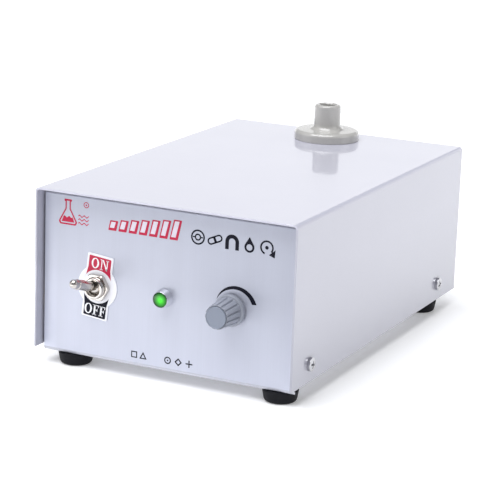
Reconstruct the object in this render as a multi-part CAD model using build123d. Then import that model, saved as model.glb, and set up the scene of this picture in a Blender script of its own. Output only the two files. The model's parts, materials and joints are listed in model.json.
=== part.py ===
from build123d import *
import math
import os

# A bench-top magnetic stirrer. Millimetres, +Z up, the bench at z = 0 under the rubber feet.
# The control panel faces -Y. The origin is the middle of the whole object's footprint.

# Case
case_width = 160.0
case_depth = 248.0
cover_height = 92.0
cover_edge_z = 10.5          # lower edge of the cover above the bench
sheet = 1.2                  # cover and chassis sheet
bend_radius = 2.4            # outside radius of a sheet bend
fit_gap = 0.9                # play between the cover's side walls and the chassis
panel_recess = 7.0           # front panel behind the cover's front edge
rear_recess = 7.0            # rear panel in front of the cover's rear edge
tray_z = 7.0                 # underside of the chassis floor, below the cover's edge
floor_half_width = 74.0
flange_z = (11.0, 29.0)      # side flanges that take the cover screws
flange_margin = 9.0          # flange beyond its screw
label_thickness = 0.4

# Reach of the parts that stand out of the case
lever_throw = 34.0           # full travel of the toggle lever, degrees
lever_length = 28.0          # pivot to tip
lever_pivot_out = 1.5        # pivot in front of the panel
fuse_cap_out = 10.6          # fuse cap beyond the rear panel
front_reach = lever_pivot_out + lever_length * math.cos(math.radians(lever_throw / 2)) - panel_recess
rear_reach = fuse_cap_out - rear_recess

# Planes of the case
front_edge_y = -(case_depth + rear_reach - front_reach) / 2
rear_edge_y = front_edge_y + case_depth
panel_y = front_edge_y + panel_recess
rear_panel_y = rear_edge_y - rear_recess
wall_y = panel_y + label_thickness
cover_top_z = cover_edge_z + cover_height
cover_under_z = cover_top_z - sheet
floor_z = tray_z + sheet
tray_half_width = case_width / 2 - sheet - fit_gap
tray_top_z = cover_under_z - 2.3

# Controls on the panel
toggle_x, toggle_z = -43.3, 49.3
lamp_x, lamp_z = -1.2, 49.4
knob_x, knob_z = 39.5, 49.1
panel_stack = label_thickness + sheet
toggle_hole_radius = 6.2
lamp_hole_radius = 4.2
pot_hole_radius = 4.6
legend_thickness = 0.5
legend_turn = -6.0           # the plate sits a little askew
panel_holes = (
    (toggle_x, toggle_z, toggle_hole_radius),
    (lamp_x, lamp_z, lamp_hole_radius),
    (knob_x, knob_z, pot_hole_radius),
)

# Toggle switch, heights from the panel's face
bushing_radius = 6.0
switch_nut_flats = 14.3
washer_thickness = 0.6
ball_radius = 4.2
pin_radius, pin_out = 1.0, 0.3          # pivot pin through the ball
switch_frame = 1.0                      # thickness of the bushing's frame plate
switch_front = -(panel_stack + 5.0)     # rear face of the bushing's frame plate
switch_back = -28.0
switch_half_width, switch_half_height = 8.5, 15.5
rocker_out = -15.5
rocker_tilt = 10.0
lug_xs, lug_zs = (-4.0, 4.0), (-8.5, 0.0, 8.5)

# Speed control, heights from the panel's face
can_radius = 12.0
can_front, can_back = -(panel_stack + 0.4), -13.0
pot_bushing_radius, pot_bushing_out = 4.4, 3.4
pot_shaft_out = 12.0
knob_back, knob_front = 1.0, 18.0
collet_radius, collet_top = 4.6, 13.0
cap_radius, cap_height, cap_out = 6.3, 3.2, 1.0

# Top plate
stir_y = front_edge_y + 104.0
holder_x, holder_y = -2.0, front_edge_y + 222.0
holder_flange_radius = 20.5
holder_spigot_radius = 8.0
holder_height = 22.0
seat_depth = 0.2
rod_bore_radius = 5.1
rod_bore_depth = 28.0

# Feet and screws
foot_height = tray_z
foot_xs = (-61.8, 66.4)        # the feet sit a little right of the middle
foot_ys = (front_edge_y + 16.0, rear_edge_y - 24.0)
cover_screw_z = 21.0
cover_screw_ys = (front_edge_y + 22.7, front_edge_y + 215.5)
thread_gap = 0.15            # play between a screw and the hole drawn for its thread
m3_radius, m3_head_radius, m3_head_height = 1.5, 2.75, 2.0
m4_radius, m4_head_radius, m4_head_height = 2.0, 3.9, 2.5

# Rear panel
inlet_x, inlet_z = -40.0, 45.0
fuse_x, fuse_z = 4.0, 45.0
inlet_screw_spacing = 40.0
inlet_body_width, inlet_body_height = 27.4, 20.2
inlet_flange = 3.0
inlet_depth = 18.0
pin_places = ((-7.0, -2.0), (7.0, -2.0), (0.0, 2.0))
fuse_bore_radius = 6.2

# Drive
motor_radius = 29.0
motor_top_z = 64.0
motor_bottom_z = 19.0
bearing_radius = 6.5
shaft_radius = 3.0
shaft_gap = 0.05
plate_thickness = 2.0
standoff_x, standoff_y = 42.0, 36.0
carrier_radius = 30.0
carrier_z = 85.0
carrier_thickness = 8.0
magnet_radius, magnet_height, magnet_offset = 8.0, 10.0, 19.0
pocket_depth = 5.0

# Power supply and control board
transformer_x, transformer_y = 36.0, front_edge_y + 196.0
core_half_x, core_half_y, core_leg = 25.0, 13.0, 8.0
core_low, core_high = floor_z + 1.2, floor_z + 43.2
bracket_sheet, bracket_play, bracket_foot = 1.0, 0.1, 7.0
board_x, board_y, board_z = -32.0, front_edge_y + 186.0, 22.0
board_width, board_depth, board_thickness = 58.0, 70.0, 1.6
board_hole_x, board_hole_y = 22.0, 26.5

# Wiring
mains_wire_radius = 2.2
control_wire_radius = 1.5


# Shapes used again and again

def block(x_range, y_range, z_range):
    """A box between two limits along each axis."""
    limits = (x_range, y_range, z_range)
    size = [high - low for low, high in limits]
    centre = [(high + low) / 2 for low, high in limits]
    return Pos(*centre) * Box(*size)


def post(radius, low, high, x=0.0, y=0.0):
    """A cylinder along Z."""
    return Pos(x, y, (low + high) / 2) * Cylinder(radius, high - low)


def tube(outer, inner, low, high, x=0.0, y=0.0):
    """A hollow cylinder along Z."""
    return post(outer, low, high, x, y) - post(inner, low, high, x, y)


def hex_post(across_flats, low, high, x=0.0, y=0.0):
    """A hexagonal prism along Z."""
    outline = RegularPolygon(across_flats / 2, 6, major_radius=False)
    return Pos(x, y, low) * extrude(outline, high - low)


def turned(outline, radii=0.0):
    """A solid turned about Z from its (radius, height) corners, each rounded by its own radius."""
    edges = FilletPolyline(*outline, radius=radii, close=True)
    return revolve(Plane.XZ * make_face(edges), Axis.Z)


def hex_nut(across_flats, bore, low, high, x=0.0, y=0.0):
    """A hexagonal nut along Z, its corners turned off on both faces."""
    corner = across_flats / math.sqrt(3)
    drop = (corner - across_flats / 2) * 0.6
    shape = turned(
        [(0, low), (corner - drop, low), (corner, low + drop),
         (corner, high - drop), (corner - drop, high), (0, high)]
    )
    blank = hex_post(across_flats, low, high)
    return Pos(x, y, 0) * ((blank & shape) - post(bore, low, high))


def spacer(across_flats, top, x, y):
    """A tapped hexagonal spacer that stands on the chassis floor."""
    return hex_post(across_flats, floor_z, top, x, y) - post(m3_radius + thread_gap, floor_z, top, x, y)


def pan_screw(radius, head_radius, head_height, length):
    """A pan-head screw along Z: the head above z = 0, the shank below, a cross recess in the top."""
    head = turned(
        [(0, 0), (head_radius, 0), (head_radius, head_height), (0, head_height)],
        [0, 0, head_height * 0.6, 0],
    )
    arm = head_radius * 1.1
    slot = head_radius * 0.16
    depth = head_height * 0.45
    top = (head_height - depth, head_height + 1)
    cross = block((-arm / 2, arm / 2), (-slot, slot), top) + block((-slot, slot), (-arm / 2, arm / 2), top)
    return head + post(radius, -length, 0) - cross


def facing_front(x, z):
    """Turns a shape that stands along +Z so that it stands out of the front panel."""
    return Pos(x, panel_y, z) * Rot(90, 0, 0)


def facing_rear(x, z):
    """Turns a shape that stands along +Z so that it stands out of the rear panel."""
    return Pos(x, rear_panel_y, z) * Rot(0, 0, 180) * Rot(90, 0, 0)


toggle_place = facing_front(toggle_x, toggle_z)
lamp_place = facing_front(lamp_x, lamp_z)
knob_place = facing_front(knob_x, knob_z)
inlet_place = facing_rear(inlet_x, inlet_z)
fuse_place = facing_rear(fuse_x, fuse_z)


def wire(points, radius):
    """A round wire along points, with every arc as large as its two runs allow."""
    corners = [Vector(*point) for point in points]
    radii = []
    for before, corner, after in zip(corners, corners[1:], corners[2:]):
        arriving, leaving = corner - before, after - corner
        half_turn = math.radians(arriving.get_angle(leaving)) / 2
        shorter = min(arriving.length, leaving.length)
        radii.append(0.45 * shorter / math.tan(half_turn))
    path = FilletPolyline(*corners, radius=radii)
    section = Plane(path @ 0, z_dir=path % 0) * Circle(radius)
    solid = sweep(section, path)
    full = math.pi * radius ** 2 * path.length
    print("wire bends", [round(bend, 1) for bend in radii], "volume", round(solid.volume), "of", round(full))
    return solid


def group(shapes):
    """Separate solids that share one node."""
    return Compound(children=[solid for shape in shapes for solid in shape.solids()])


# Case

def make_top_cover():
    """The hood: a top plate and two side walls folded from one sheet."""
    half = case_width / 2
    inner_radius = bend_radius - sheet
    outer = FilletPolyline(
        (-half, cover_edge_z), (-half, cover_top_z), (half, cover_top_z), (half, cover_edge_z),
        radius=[0, bend_radius, bend_radius, 0], close=True,
    )
    inside = half - sheet
    below = cover_edge_z - 1
    inner = FilletPolyline(
        (-inside, below), (-inside, cover_under_z), (inside, cover_under_z), (inside, below),
        radius=[0, inner_radius, inner_radius, 0], close=True,
    )
    profile = make_face(outer) - make_face(inner)
    hood = Pos(0, rear_edge_y, 0) * extrude(Plane.XZ * profile, case_depth)
    for y in cover_screw_ys:
        hood -= Pos(0, y, cover_screw_z) * Rot(0, 90, 0) * Cylinder(m4_radius + 0.2, case_width * 2)
    hood -= post(holder_spigot_radius + 0.2, cover_under_z - 1, cover_top_z + 1, holder_x, holder_y)
    seat_radius = holder_flange_radius + 0.2
    return hood - post(seat_radius, cover_top_z - seat_depth, cover_top_z + 1, holder_x, holder_y)


def rear_openings():
    """What is cut out of the rear wall, drawn in front of the wall's own plane."""
    depth = 2 * sheet
    width, height = inlet_body_width / 2 + 0.3, inlet_body_height / 2 + 0.3
    cuts = block((-width, width), (-height, height), (-depth, depth))
    for side in (-1, 1):
        cuts += post(m3_radius + thread_gap, -depth, depth, side * inlet_screw_spacing / 2)
    cuts = inlet_place * cuts
    cuts += fuse_place * post(fuse_bore_radius + 0.2, -depth, depth)
    first_x, slot_z, slot_count = 28.0, 68.0, 7
    slot_width, slot_height, slot_pitch = 3.0, 26.0, 6.5
    for number in range(slot_count):
        slot = SlotOverall(slot_height, slot_width, rotation=90)
        vent = Pos(0, 0, -depth) * extrude(slot, 2 * depth)
        cuts += facing_rear(first_x + number * slot_pitch, slot_z) * vent
    return cuts


def floor_openings():
    """Holes in the chassis floor: screws, feet and two rows of cooling slots."""
    span = (tray_z - 1, floor_z + 1)
    cuts = Part()
    for x in foot_xs:
        for y in foot_ys:
            cuts += post(m4_radius + 0.25, *span, x, y)
    for x, y in standoff_places() + board_places() + transformer_screw_places():
        cuts += post(m3_radius + 0.2, *span, x, y)
    slot_x, first_y, slot_pitch, slot_count = 46.0, stir_y - 25.0, 10.0, 6
    slot_length, slot_width = 23.8, 3.0
    slot = extrude(SlotOverall(slot_length, slot_width), span[1] - span[0])
    for side in (-1, 1):
        for number in range(slot_count):
            cuts += Pos(side * slot_x, first_y + number * slot_pitch, span[0]) * slot
    return cuts


def make_chassis_tray():
    """Floor, front wall and rear wall folded from one sheet, with four side flanges for the cover screws."""
    inner_radius = bend_radius - sheet
    front, rear = wall_y, rear_panel_y
    outer = FilletPolyline(
        (front, tray_top_z), (front, tray_z), (rear, tray_z), (rear, tray_top_z),
        radius=[0, bend_radius, bend_radius, 0], close=True,
    )
    inner = FilletPolyline(
        (front + sheet, tray_top_z + 1), (front + sheet, floor_z),
        (rear - sheet, floor_z), (rear - sheet, tray_top_z + 1),
        radius=[0, inner_radius, inner_radius, 0], close=True,
    )
    profile = make_face(outer) - make_face(inner)
    tray = Pos(-tray_half_width, 0, 0) * extrude(Plane.YZ * profile, 2 * tray_half_width)
    front_screw_y, rear_screw_y = cover_screw_ys
    flanges = ((front, front_screw_y + flange_margin), (rear_screw_y - flange_margin, rear))
    strip = (front + bend_radius, rear + 1)
    for side in (-1, 1):
        tray -= block(sorted((side * floor_half_width, side * case_width)), strip, (tray_z - 1, floor_z + 1))
        walls = sorted((side * tray_half_width, side * (tray_half_width - sheet)))
        for flange in flanges:
            tray += block(walls, flange, flange_z)
    for y in cover_screw_ys:
        tray -= Pos(0, y, cover_screw_z) * Rot(0, 90, 0) * Cylinder(m4_radius + 0.25, case_width)
    for x, z, radius in panel_holes:
        tray -= facing_front(x, z) * post(radius, -2 * panel_stack, 1)
    return tray - rear_openings() - floor_openings()


def make_front_label():
    """The printed film that covers the whole front panel."""
    margin = 0.3
    label = block(
        (-tray_half_width + margin, tray_half_width - margin),
        (panel_y, wall_y),
        (tray_z + bend_radius, tray_top_z - margin),
    )
    for x, z, radius in panel_holes:
        label -= facing_front(x, z) * post(radius, -2 * panel_stack, 1)
    return label


def make_rubber_feet():
    """Four tapered rubber feet with a sunk screw hole."""
    top_radius, bottom_radius, edge = 10.2, 8.2, 1.6
    sink_radius, sink_depth = 4.6, 4.5
    foot = turned(
        [(0, 0), (bottom_radius, 0), (top_radius, foot_height), (0, foot_height)],
        [0, edge, 0.3, 0],
    )
    foot -= post(m4_radius + 0.25, -1, foot_height + 1)
    foot -= post(sink_radius, -1, sink_depth)
    return group([Pos(x, y, 0) * foot for x in foot_xs for y in foot_ys])


def make_foot_screws():
    """M4 screws, heads down inside the feet."""
    head_z, length = 4.4, 8.0
    screw = Rot(180, 0, 0) * pan_screw(m4_radius, m4_head_radius, m4_head_height, length)
    return group([Pos(x, y, head_z) * screw for x in foot_xs for y in foot_ys])


def make_foot_nuts():
    """M4 nuts on the chassis floor."""
    flats, height = 7.0, 3.2
    nut = hex_nut(flats, m4_radius + thread_gap, floor_z, floor_z + height)
    return group([Pos(x, y, 0) * nut for x in foot_xs for y in foot_ys])


def make_cover_screws():
    """Four M4 pan-head screws through the side walls into the chassis flanges."""
    head_height, length = 2.3, 8.0
    screw = pan_screw(m4_radius, m4_head_radius, head_height, length)
    placed = []
    for side in (-1, 1):
        for y in cover_screw_ys:
            placed.append(Pos(side * case_width / 2, y, cover_screw_z) * Rot(0, 90 * side, 0) * screw)
    return group(placed)


def make_cover_clip_nuts():
    """Round clinch nuts inside the chassis flanges."""
    nut_radius, nut_height = 4.0, 4.0
    nut = tube(nut_radius, m4_radius + thread_gap, 0, nut_height)
    face = tray_half_width - sheet - nut_height
    placed = []
    for side in (-1, 1):
        for y in cover_screw_ys:
            placed.append(Pos(side * face, y, cover_screw_z) * Rot(0, 90 * side, 0) * nut)
    return group(placed)


# Rod holder

def make_rod_holder():
    """Flange, boss and spigot moulded in one, with a blind bore for a 10 mm support rod."""
    flange_height, boss_radius, spigot_length = 5.7, 8.3, 12.0
    rim_radius, root_radius, lip_radius = 3.0, 2.8, 1.3
    base = -seat_depth
    spigot_end = -sheet - spigot_length
    holder = turned(
        [(0, spigot_end), (holder_spigot_radius, spigot_end), (holder_spigot_radius, base),
         (holder_flange_radius, base), (holder_flange_radius, flange_height),
         (boss_radius, flange_height + 0.3), (boss_radius, holder_height), (0, holder_height)],
        [0, 0, 0, 0.4, rim_radius, root_radius, lip_radius, 0],
    )
    mouth = turned(
        [(0, holder_height - rod_bore_depth), (rod_bore_radius, holder_height - rod_bore_depth),
         (rod_bore_radius, holder_height - 0.6), (rod_bore_radius + 0.7, holder_height + 0.1),
         (0, holder_height + 0.1)]
    )
    return Pos(holder_x, holder_y, cover_top_z) * (holder - mouth)


def make_rod_holder_nut():
    """Flat nut that clamps the spigot under the top plate."""
    flats, thickness = 24.0, 5.0
    low = cover_under_z - thickness
    return hex_nut(flats, holder_spigot_radius + thread_gap, low, cover_under_z, holder_x, holder_y)


# Toggle switch: drawn along +Z from the panel, then turned to face the front

def make_toggle_bushing():
    """Threaded bushing with its square frame plate."""
    mouth = lever_pivot_out + 4.5
    base = switch_front + switch_frame
    outer = turned(
        [(0, base), (bushing_radius, base), (bushing_radius, mouth), (0, mouth)],
        [0, 0, 0.5, 0],
    )
    half_x, half_z = switch_half_width, switch_half_height
    frame = block((-half_x, half_x), (-half_z, half_z), (switch_front, base))
    seat = lever_pivot_out + 2.0
    socket_radius, throat_radius, mouth_radius = ball_radius + 0.4, 4.0, 4.7
    bore = turned(
        [(0, switch_front - 1), (socket_radius, switch_front - 1), (socket_radius, seat),
         (throat_radius, seat), (throat_radius, seat + 1.2), (mouth_radius, mouth + 0.1), (0, mouth + 0.1)]
    )
    return toggle_place * (outer + frame - bore)


def make_toggle_nut():
    """Front nut over the legend plate."""
    low, height = legend_thickness, 2.9
    return toggle_place * hex_nut(switch_nut_flats, bushing_radius + thread_gap, low, low + height)


def make_toggle_lock_washer():
    """Internal tooth washer behind the panel."""
    top, outer_radius, teeth = -panel_stack, 8.0, 10
    washer = tube(outer_radius, bushing_radius + thread_gap, top - washer_thickness, top)
    notch = block((bushing_radius, 7.2), (-0.6, 0.6), (top - 1, top + 1))
    for number in range(teeth):
        washer -= Rot(0, 0, number * 360 / teeth) * notch
    return toggle_place * washer


def make_toggle_back_nut():
    """Nut between the switch frame and the lock washer."""
    top, height = -panel_stack - washer_thickness, 2.6
    return toggle_place * hex_nut(switch_nut_flats, bushing_radius + thread_gap, top - height, top)


def make_toggle_lever():
    """Lever with its pivot ball, pivot pin and inner tail, resting in the upper position."""
    tip, nose_start = lever_length, 22.5
    neck_radius, bat_radius, nose_radius = 2.3, 2.9, 2.6
    neck_end, bat_start = 4.6, 9.0
    tail_radius, tail_end = 1.6, -13.5
    lever = turned(
        [(0, 0), (neck_radius, 0), (neck_radius, neck_end), (bat_radius, bat_start),
         (bat_radius, nose_start - 0.5),
         (nose_radius, nose_start), (nose_radius, tip), (0, tip)],
        [0, 0, 2.0, 2.0, 0.3, 0.2, nose_radius * 0.97, 0],
    )
    lever += Sphere(ball_radius)
    lever += Rot(0, 90, 0) * Cylinder(pin_radius, 2 * (ball_radius + pin_out))
    lever += post(tail_radius, tail_end, 0)
    lever += Pos(0, 0, tail_end) * Sphere(tail_radius)
    raised = Pos(0, 0, lever_pivot_out) * Rot(-lever_throw / 2, 0, 0)
    return toggle_place * raised * lever


def make_toggle_body():
    """Moulded switch body, open at the front, with slots for six lugs."""
    wall = 2.0
    half_x, half_z = switch_half_width, switch_half_height
    outer = block((-half_x, half_x), (-half_z, half_z), (switch_back, switch_front))
    outer = fillet(outer.edges().filter_by(Axis.Z), 1.0)
    half_x, half_z = half_x - wall, half_z - wall
    body = outer - block((-half_x, half_x), (-half_z, half_z), (switch_back + wall, switch_front + 1))
    depth = (switch_back - 1, switch_back + wall + 1)
    for x in lug_xs:
        for z in lug_zs:
            body -= block((x - 0.5, x + 0.5), (z - 2.1, z + 2.1), depth)
    return toggle_place * body


def make_toggle_rocker():
    """Contact bridge that rocks on the middle lugs, opposite to the lever."""
    plate = block((-5.0, 5.0), (-9.5, 9.5), (-0.4, 0.4))
    saddle = Rot(0, 90, 0) * Cylinder(1.2, 10.0)
    return toggle_place * Pos(0, 0, rocker_out) * Rot(rocker_tilt, 0, 0) * (plate + saddle)


def make_toggle_terminals():
    """Six solder lugs; the middle pair carries the rocker."""
    lugs = []
    for x in lug_xs:
        for z in lug_zs:
            inner_end = rocker_out - 1.5 if z == 0.0 else rocker_out - 3.4
            lug = block((x - 0.4, x + 0.4), (z - 2.0, z + 2.0), (switch_back - 8, inner_end))
            eye = Pos(x, z, switch_back - 5.5) * Rot(0, 90, 0) * Cylinder(0.9, 3.0)
            lugs.append(toggle_place * (lug - eye))
    return group(lugs)


def make_toggle_legend_plate():
    """Thin plate under the nut: an upper and a lower field joined by a disc."""
    disc_radius, field_half, reach = 12.4, 8.2, 18.5
    plate = post(disc_radius, 0, legend_thickness)
    plate += block((-field_half, field_half), (-reach, reach), (0, legend_thickness))
    return toggle_place * Rot(0, 0, legend_turn) * (plate - post(bushing_radius + thread_gap, -1, 2))


# Indicator lamp

def make_lamp_bezel():
    """Bright turned bezel with a threaded stem."""
    bezel = turned(
        [(2.9, -12), (3.95, -12), (3.95, 0), (5.35, 0), (5.3, 1.2),
         (4.75, 6.0), (4.05, 6.0), (4.05, 2.0), (2.9, 2.0)],
        [0, 0, 0, 0.2, 0.6, 0.3, 0.2, 0, 0],
    )
    return lamp_place * bezel


def make_lamp_lens():
    """Green lens with the lamp's stem behind it."""
    lens = turned(
        [(0, -8), (2.75, -8), (2.75, 2.1), (3.9, 2.1), (3.9, 5.0), (0, 5.9)],
        [0, 0, 0, 0, 0.5, 0],
    )
    return lamp_place * lens


def make_lamp_nut():
    """Nut behind the panel."""
    return lamp_place * hex_nut(11.0, 3.95 + thread_gap, -panel_stack - 2.5, -panel_stack)


def make_lamp_leads():
    """The lamp's two stiff leads."""
    spread = 1.27
    return group([lamp_place * post(0.4, -18, -8, side * spread) for side in (-1, 1)])


# Speed control

def make_pot_can():
    """Metal can of the potentiometer."""
    wall = 0.8
    can = tube(can_radius, 3.6, can_back, can_front)
    can -= post(can_radius - wall, can_back + wall, can_front - wall)
    return knob_place * can


def make_pot_bushing():
    """Threaded bushing, clamped through the panel."""
    bore, outer = shaft_radius + shaft_gap, pot_bushing_radius
    bushing = turned(
        [(bore, can_front), (outer, can_front), (outer, pot_bushing_out), (bore, pot_bushing_out)],
        [0, 0, 0.4, 0],
    )
    return knob_place * bushing


def make_pot_nut():
    """Nut in front of the panel, hidden in the knob's skirt."""
    flats, height = 11.0, 2.2
    return knob_place * hex_nut(flats, pot_bushing_radius + thread_gap, 0, height)


def make_pot_shaft():
    """Shaft that the knob turns, with a flat at its outer end."""
    shaft = post(shaft_radius, can_back + 2.0, pot_shaft_out)
    flat_low, flat_offset = 5.0, 2.4
    flat = block((-4, 4), (flat_offset, 4), (flat_low, pot_shaft_out + 1))
    return knob_place * (shaft - flat)


def make_pot_wiper():
    """Wiper disc inside the can, fixed on the shaft."""
    disc = tube(9.5, shaft_radius + shaft_gap, -9.0, -8.0)
    finger = block((-1.2, 1.2), (8.0, 10.0), (-8.6, -7.0))
    return knob_place * (disc + finger)


def make_pot_terminals():
    """Three solder lugs below the can."""
    length, span = (-can_radius - 9.0, -can_radius - 0.1), (-5.0, -4.4)
    return group([knob_place * block((x - 1.0, x + 1.0), length, span) for x in (-5.0, 0.0, 5.0)])


def make_knob_body():
    """Fluted knob with a skirt, hollow behind for the panel nut."""
    skirt_radius, skirt_front = 9.0, 4.0
    root_radius, top_radius = 7.9, 6.8
    body = turned(
        [(0, knob_back), (skirt_radius, knob_back), (skirt_radius, skirt_front), (root_radius, skirt_front),
         (top_radius, knob_front), (0, knob_front)],
        [0, 0.4, 1.0, 0, 0.4, 0],
    )
    flutes, depth, half_width = 14, 0.55, 0.75
    lean = math.degrees(math.atan((root_radius - top_radius) / (knob_front - skirt_front)))
    groove = block((-half_width, half_width), (-depth, 2.0), (0.6, knob_front))
    groove = Pos(0, root_radius, skirt_front) * Rot(lean, 0, 0) * groove
    for number in range(flutes):
        body -= Rot(0, 0, (number + 0.5) * 360 / flutes) * groove
    nut_room_radius, nut_room_top = 7.2, 3.6
    body -= post(nut_room_radius, 0, nut_room_top)
    body -= post(collet_radius + shaft_gap, 0, collet_top + 1)
    body -= post(cap_radius + 0.1, collet_top, knob_front + 1)
    return knob_place * body


def make_knob_collet():
    """Brass collet and its nut, which grip the shaft inside the knob."""
    collet = tube(collet_radius, shaft_radius + shaft_gap, 3.8, collet_top)
    slit_low, slit_half, reach = 7.0, 0.4, 6.0
    collet -= block((-slit_half, slit_half), (-reach, reach), (slit_low, collet_top + 1))
    flats, bore, height = 8.0, 2.4, 2.3
    nut = hex_nut(flats, bore, collet_top + 0.1, collet_top + 0.1 + height)
    return group([knob_place * collet, knob_place * nut])


def make_knob_cap():
    """Flat cap snapped into the knob's end."""
    top = knob_front + cap_out
    cap = turned(
        [(0, top - cap_height), (cap_radius, top - cap_height), (cap_radius, top), (0, top)],
        [0, 0, 0.5, 0],
    )
    return knob_place * cap


# Drive

def standoff_places():
    """Where the four motor standoffs stand."""
    return [(x, stir_y + y) for x in (-standoff_x, standoff_x) for y in (-standoff_y, standoff_y)]


def motor_screw_places():
    """Three screws on a circle round the motor's boss."""
    circle = 20.0
    angles = [math.radians(90 + 120 * number) for number in range(3)]
    return [(circle * math.cos(angle), stir_y + circle * math.sin(angle)) for angle in angles]


def make_motor_plate():
    """Plate on the standoffs that carries the motor."""
    half_x, half_y = standoff_x + 7.0, standoff_y + 7.0
    top = motor_top_z + plate_thickness
    plate = block((-half_x, half_x), (stir_y - half_y, stir_y + half_y), (motor_top_z, top))
    plate = fillet(plate.edges().filter_by(Axis.Z), 4.0)
    plate -= post(8.6, motor_top_z - 1, top + 1, 0, stir_y)
    for x, y in standoff_places() + motor_screw_places():
        plate -= post(m3_radius + 0.2, motor_top_z - 1, top + 1, x, y)
    return plate


def make_motor_standoffs():
    """Hexagonal spacers, tapped at both ends."""
    return group([spacer(7.0, motor_top_z, x, y) for x, y in standoff_places()])


def make_motor_can():
    """Drawn motor can with a bearing boss on top."""
    wall, boss_radius = 1.5, 8.2
    low, boss_top = motor_bottom_z + 3, motor_top_z + 3
    can = turned(
        [(0, low), (motor_radius, low), (motor_radius, motor_top_z),
         (boss_radius, motor_top_z), (boss_radius, boss_top), (0, boss_top)],
        [0, 0, 1.5, 0, 0.5, 0],
    )
    can -= post(motor_radius - wall, low - 1, motor_top_z - wall)
    can -= post(bearing_radius + shaft_gap, motor_top_z - wall - 1, motor_top_z + 2)
    can -= post(shaft_radius + 0.5, motor_top_z, motor_top_z + 4)
    can = Pos(0, stir_y, 0) * can
    for x, y in motor_screw_places():
        can -= post(m3_radius + thread_gap, motor_top_z - 3, motor_top_z + 1, x, y)
    return can


def make_motor_end_bell():
    """Lower end of the motor, with the other bearing's pocket."""
    low, high, boss_radius = motor_bottom_z, motor_bottom_z + 2.9, 9.0
    bell = post(motor_radius, low, high) + post(boss_radius, low, high + 3)
    bell -= post(bearing_radius + shaft_gap, low + 1, high + 4)
    return Pos(0, stir_y, 0) * bell


def make_motor_bearings():
    """Two ball bearings, each drawn as one ring."""
    height = 4.0
    lows = (motor_bottom_z + 1.0, motor_top_z - 2.0)
    bore = shaft_radius + shaft_gap
    return group([tube(bearing_radius, bore, low, low + height, 0, stir_y) for low in lows])


def make_motor_field_magnets():
    """Two curved magnets bonded inside the can."""
    outer, inner, low, high, half_gap = 27.4, 22.6, 30.0, 58.0, 7.0
    ring = tube(outer, inner, low, high)
    gap = block((-motor_radius, motor_radius), (-half_gap, half_gap), (low - 1, high + 1))
    return group([Pos(0, stir_y, 0) * (ring - gap)])


def make_motor_armature():
    """Slotted armature with its commutator below."""
    low, high, radius, slots = 33.0, 56.0, 21.8, 8
    commutator_radius, commutator_low = 7.0, 27.0
    core = post(radius, low, high) + post(commutator_radius, commutator_low, low)
    slot = block((13.0, 23.0), (-2.2, 2.2), (low - 1, high + 1))
    for number in range(slots):
        core -= Rot(0, 0, number * 360 / slots) * slot
    core -= post(shaft_radius + shaft_gap, commutator_low - 1, high + 1)
    return Pos(0, stir_y, 0) * core


def make_motor_brushes():
    """Two carbon brushes beside the commutator."""
    brushes = []
    inner_end, outer_end, half_width, heights = 7.4, 15.0, 2.5, (27.5, 31.5)
    for side in (-1, 1):
        ends = sorted((side * inner_end, side * outer_end))
        brushes.append(Pos(0, stir_y, 0) * block(ends, (-half_width, half_width), heights))
    return group(brushes)


def make_motor_shaft():
    """Shaft through both bearings, up into the magnet carrier."""
    return post(shaft_radius, motor_bottom_z + 1.2, carrier_z + carrier_thickness - 1, 0, stir_y)


def make_magnet_carrier():
    """Aluminium disc with a hub and two magnet pockets."""
    top = carrier_z + carrier_thickness
    hub_radius, hub_low = 8.0, carrier_z - 8
    carrier = turned(
        [(0, hub_low), (hub_radius, hub_low), (hub_radius, carrier_z), (carrier_radius, carrier_z),
         (carrier_radius, top), (0, top)],
        [0, 0.5, 1.5, 0.8, 0.8, 0],
    )
    carrier -= post(shaft_radius + shaft_gap, hub_low - 1, top + 1)
    for side in (-1, 1):
        carrier -= post(magnet_radius + 0.1, top - pocket_depth, top + 1, side * magnet_offset)
    return Pos(0, stir_y, 0) * carrier


def make_drive_magnets():
    """Two round magnets set in the carrier's pockets."""
    low = carrier_z + carrier_thickness - pocket_depth
    high = low + magnet_height
    return group([post(magnet_radius, low, high, side * magnet_offset, stir_y) for side in (-1, 1)])


# Power supply and control board

def transformer_screw_places():
    """Two screws through the bracket's feet."""
    reach = core_half_x + bracket_play + bracket_sheet + bracket_foot / 2
    return [(transformer_x + side * reach, transformer_y) for side in (-1, 1)]


def make_transformer_core():
    """Laminated core with two windows."""
    core = block((-core_half_x, core_half_x), (-core_half_y, core_half_y), (core_low, core_high))
    depth, heights = (-core_half_y - 1, core_half_y + 1), (core_low + core_leg, core_high - core_leg)
    for side in (-1, 1):
        core -= block(sorted((side * core_leg, side * (core_half_x - core_leg))), depth, heights)
    return Pos(transformer_x, transformer_y, 0) * core


def make_transformer_winding():
    """Wound bobbin round the middle leg."""
    play, half_y = 0.2, 21.0
    low, high = core_low + core_leg + play, core_high - core_leg - play
    half_x, leg = core_half_x - core_leg - play, core_leg + play
    winding = block((-half_x, half_x), (-half_y, half_y), (low, high))
    winding = fillet(winding.edges().filter_by(Axis.Z), 4.0)
    winding -= block((-leg, leg), (-core_half_y - play, core_half_y + play), (low - 1, high + 1))
    return Pos(transformer_x, transformer_y, 0) * winding


def make_transformer_bracket():
    """Strap over the core with a foot on each side."""
    inner = core_half_x + bracket_play
    outer = inner + bracket_sheet
    top = core_high + bracket_play
    width = (-8.0, 8.0)
    strap = block((-outer, outer), width, (floor_z, top + bracket_sheet))
    strap -= block((-inner, inner), (-9, 9), (floor_z - 1, top))
    for side in (-1, 1):
        reach = sorted((side * inner, side * (outer + bracket_foot)))
        strap += block(reach, width, (floor_z, floor_z + bracket_sheet))
    strap = Pos(transformer_x, transformer_y, 0) * strap
    for x, y in transformer_screw_places():
        strap -= post(m3_radius + 0.2, floor_z - 1, floor_z + 2, x, y)
    return strap


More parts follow.
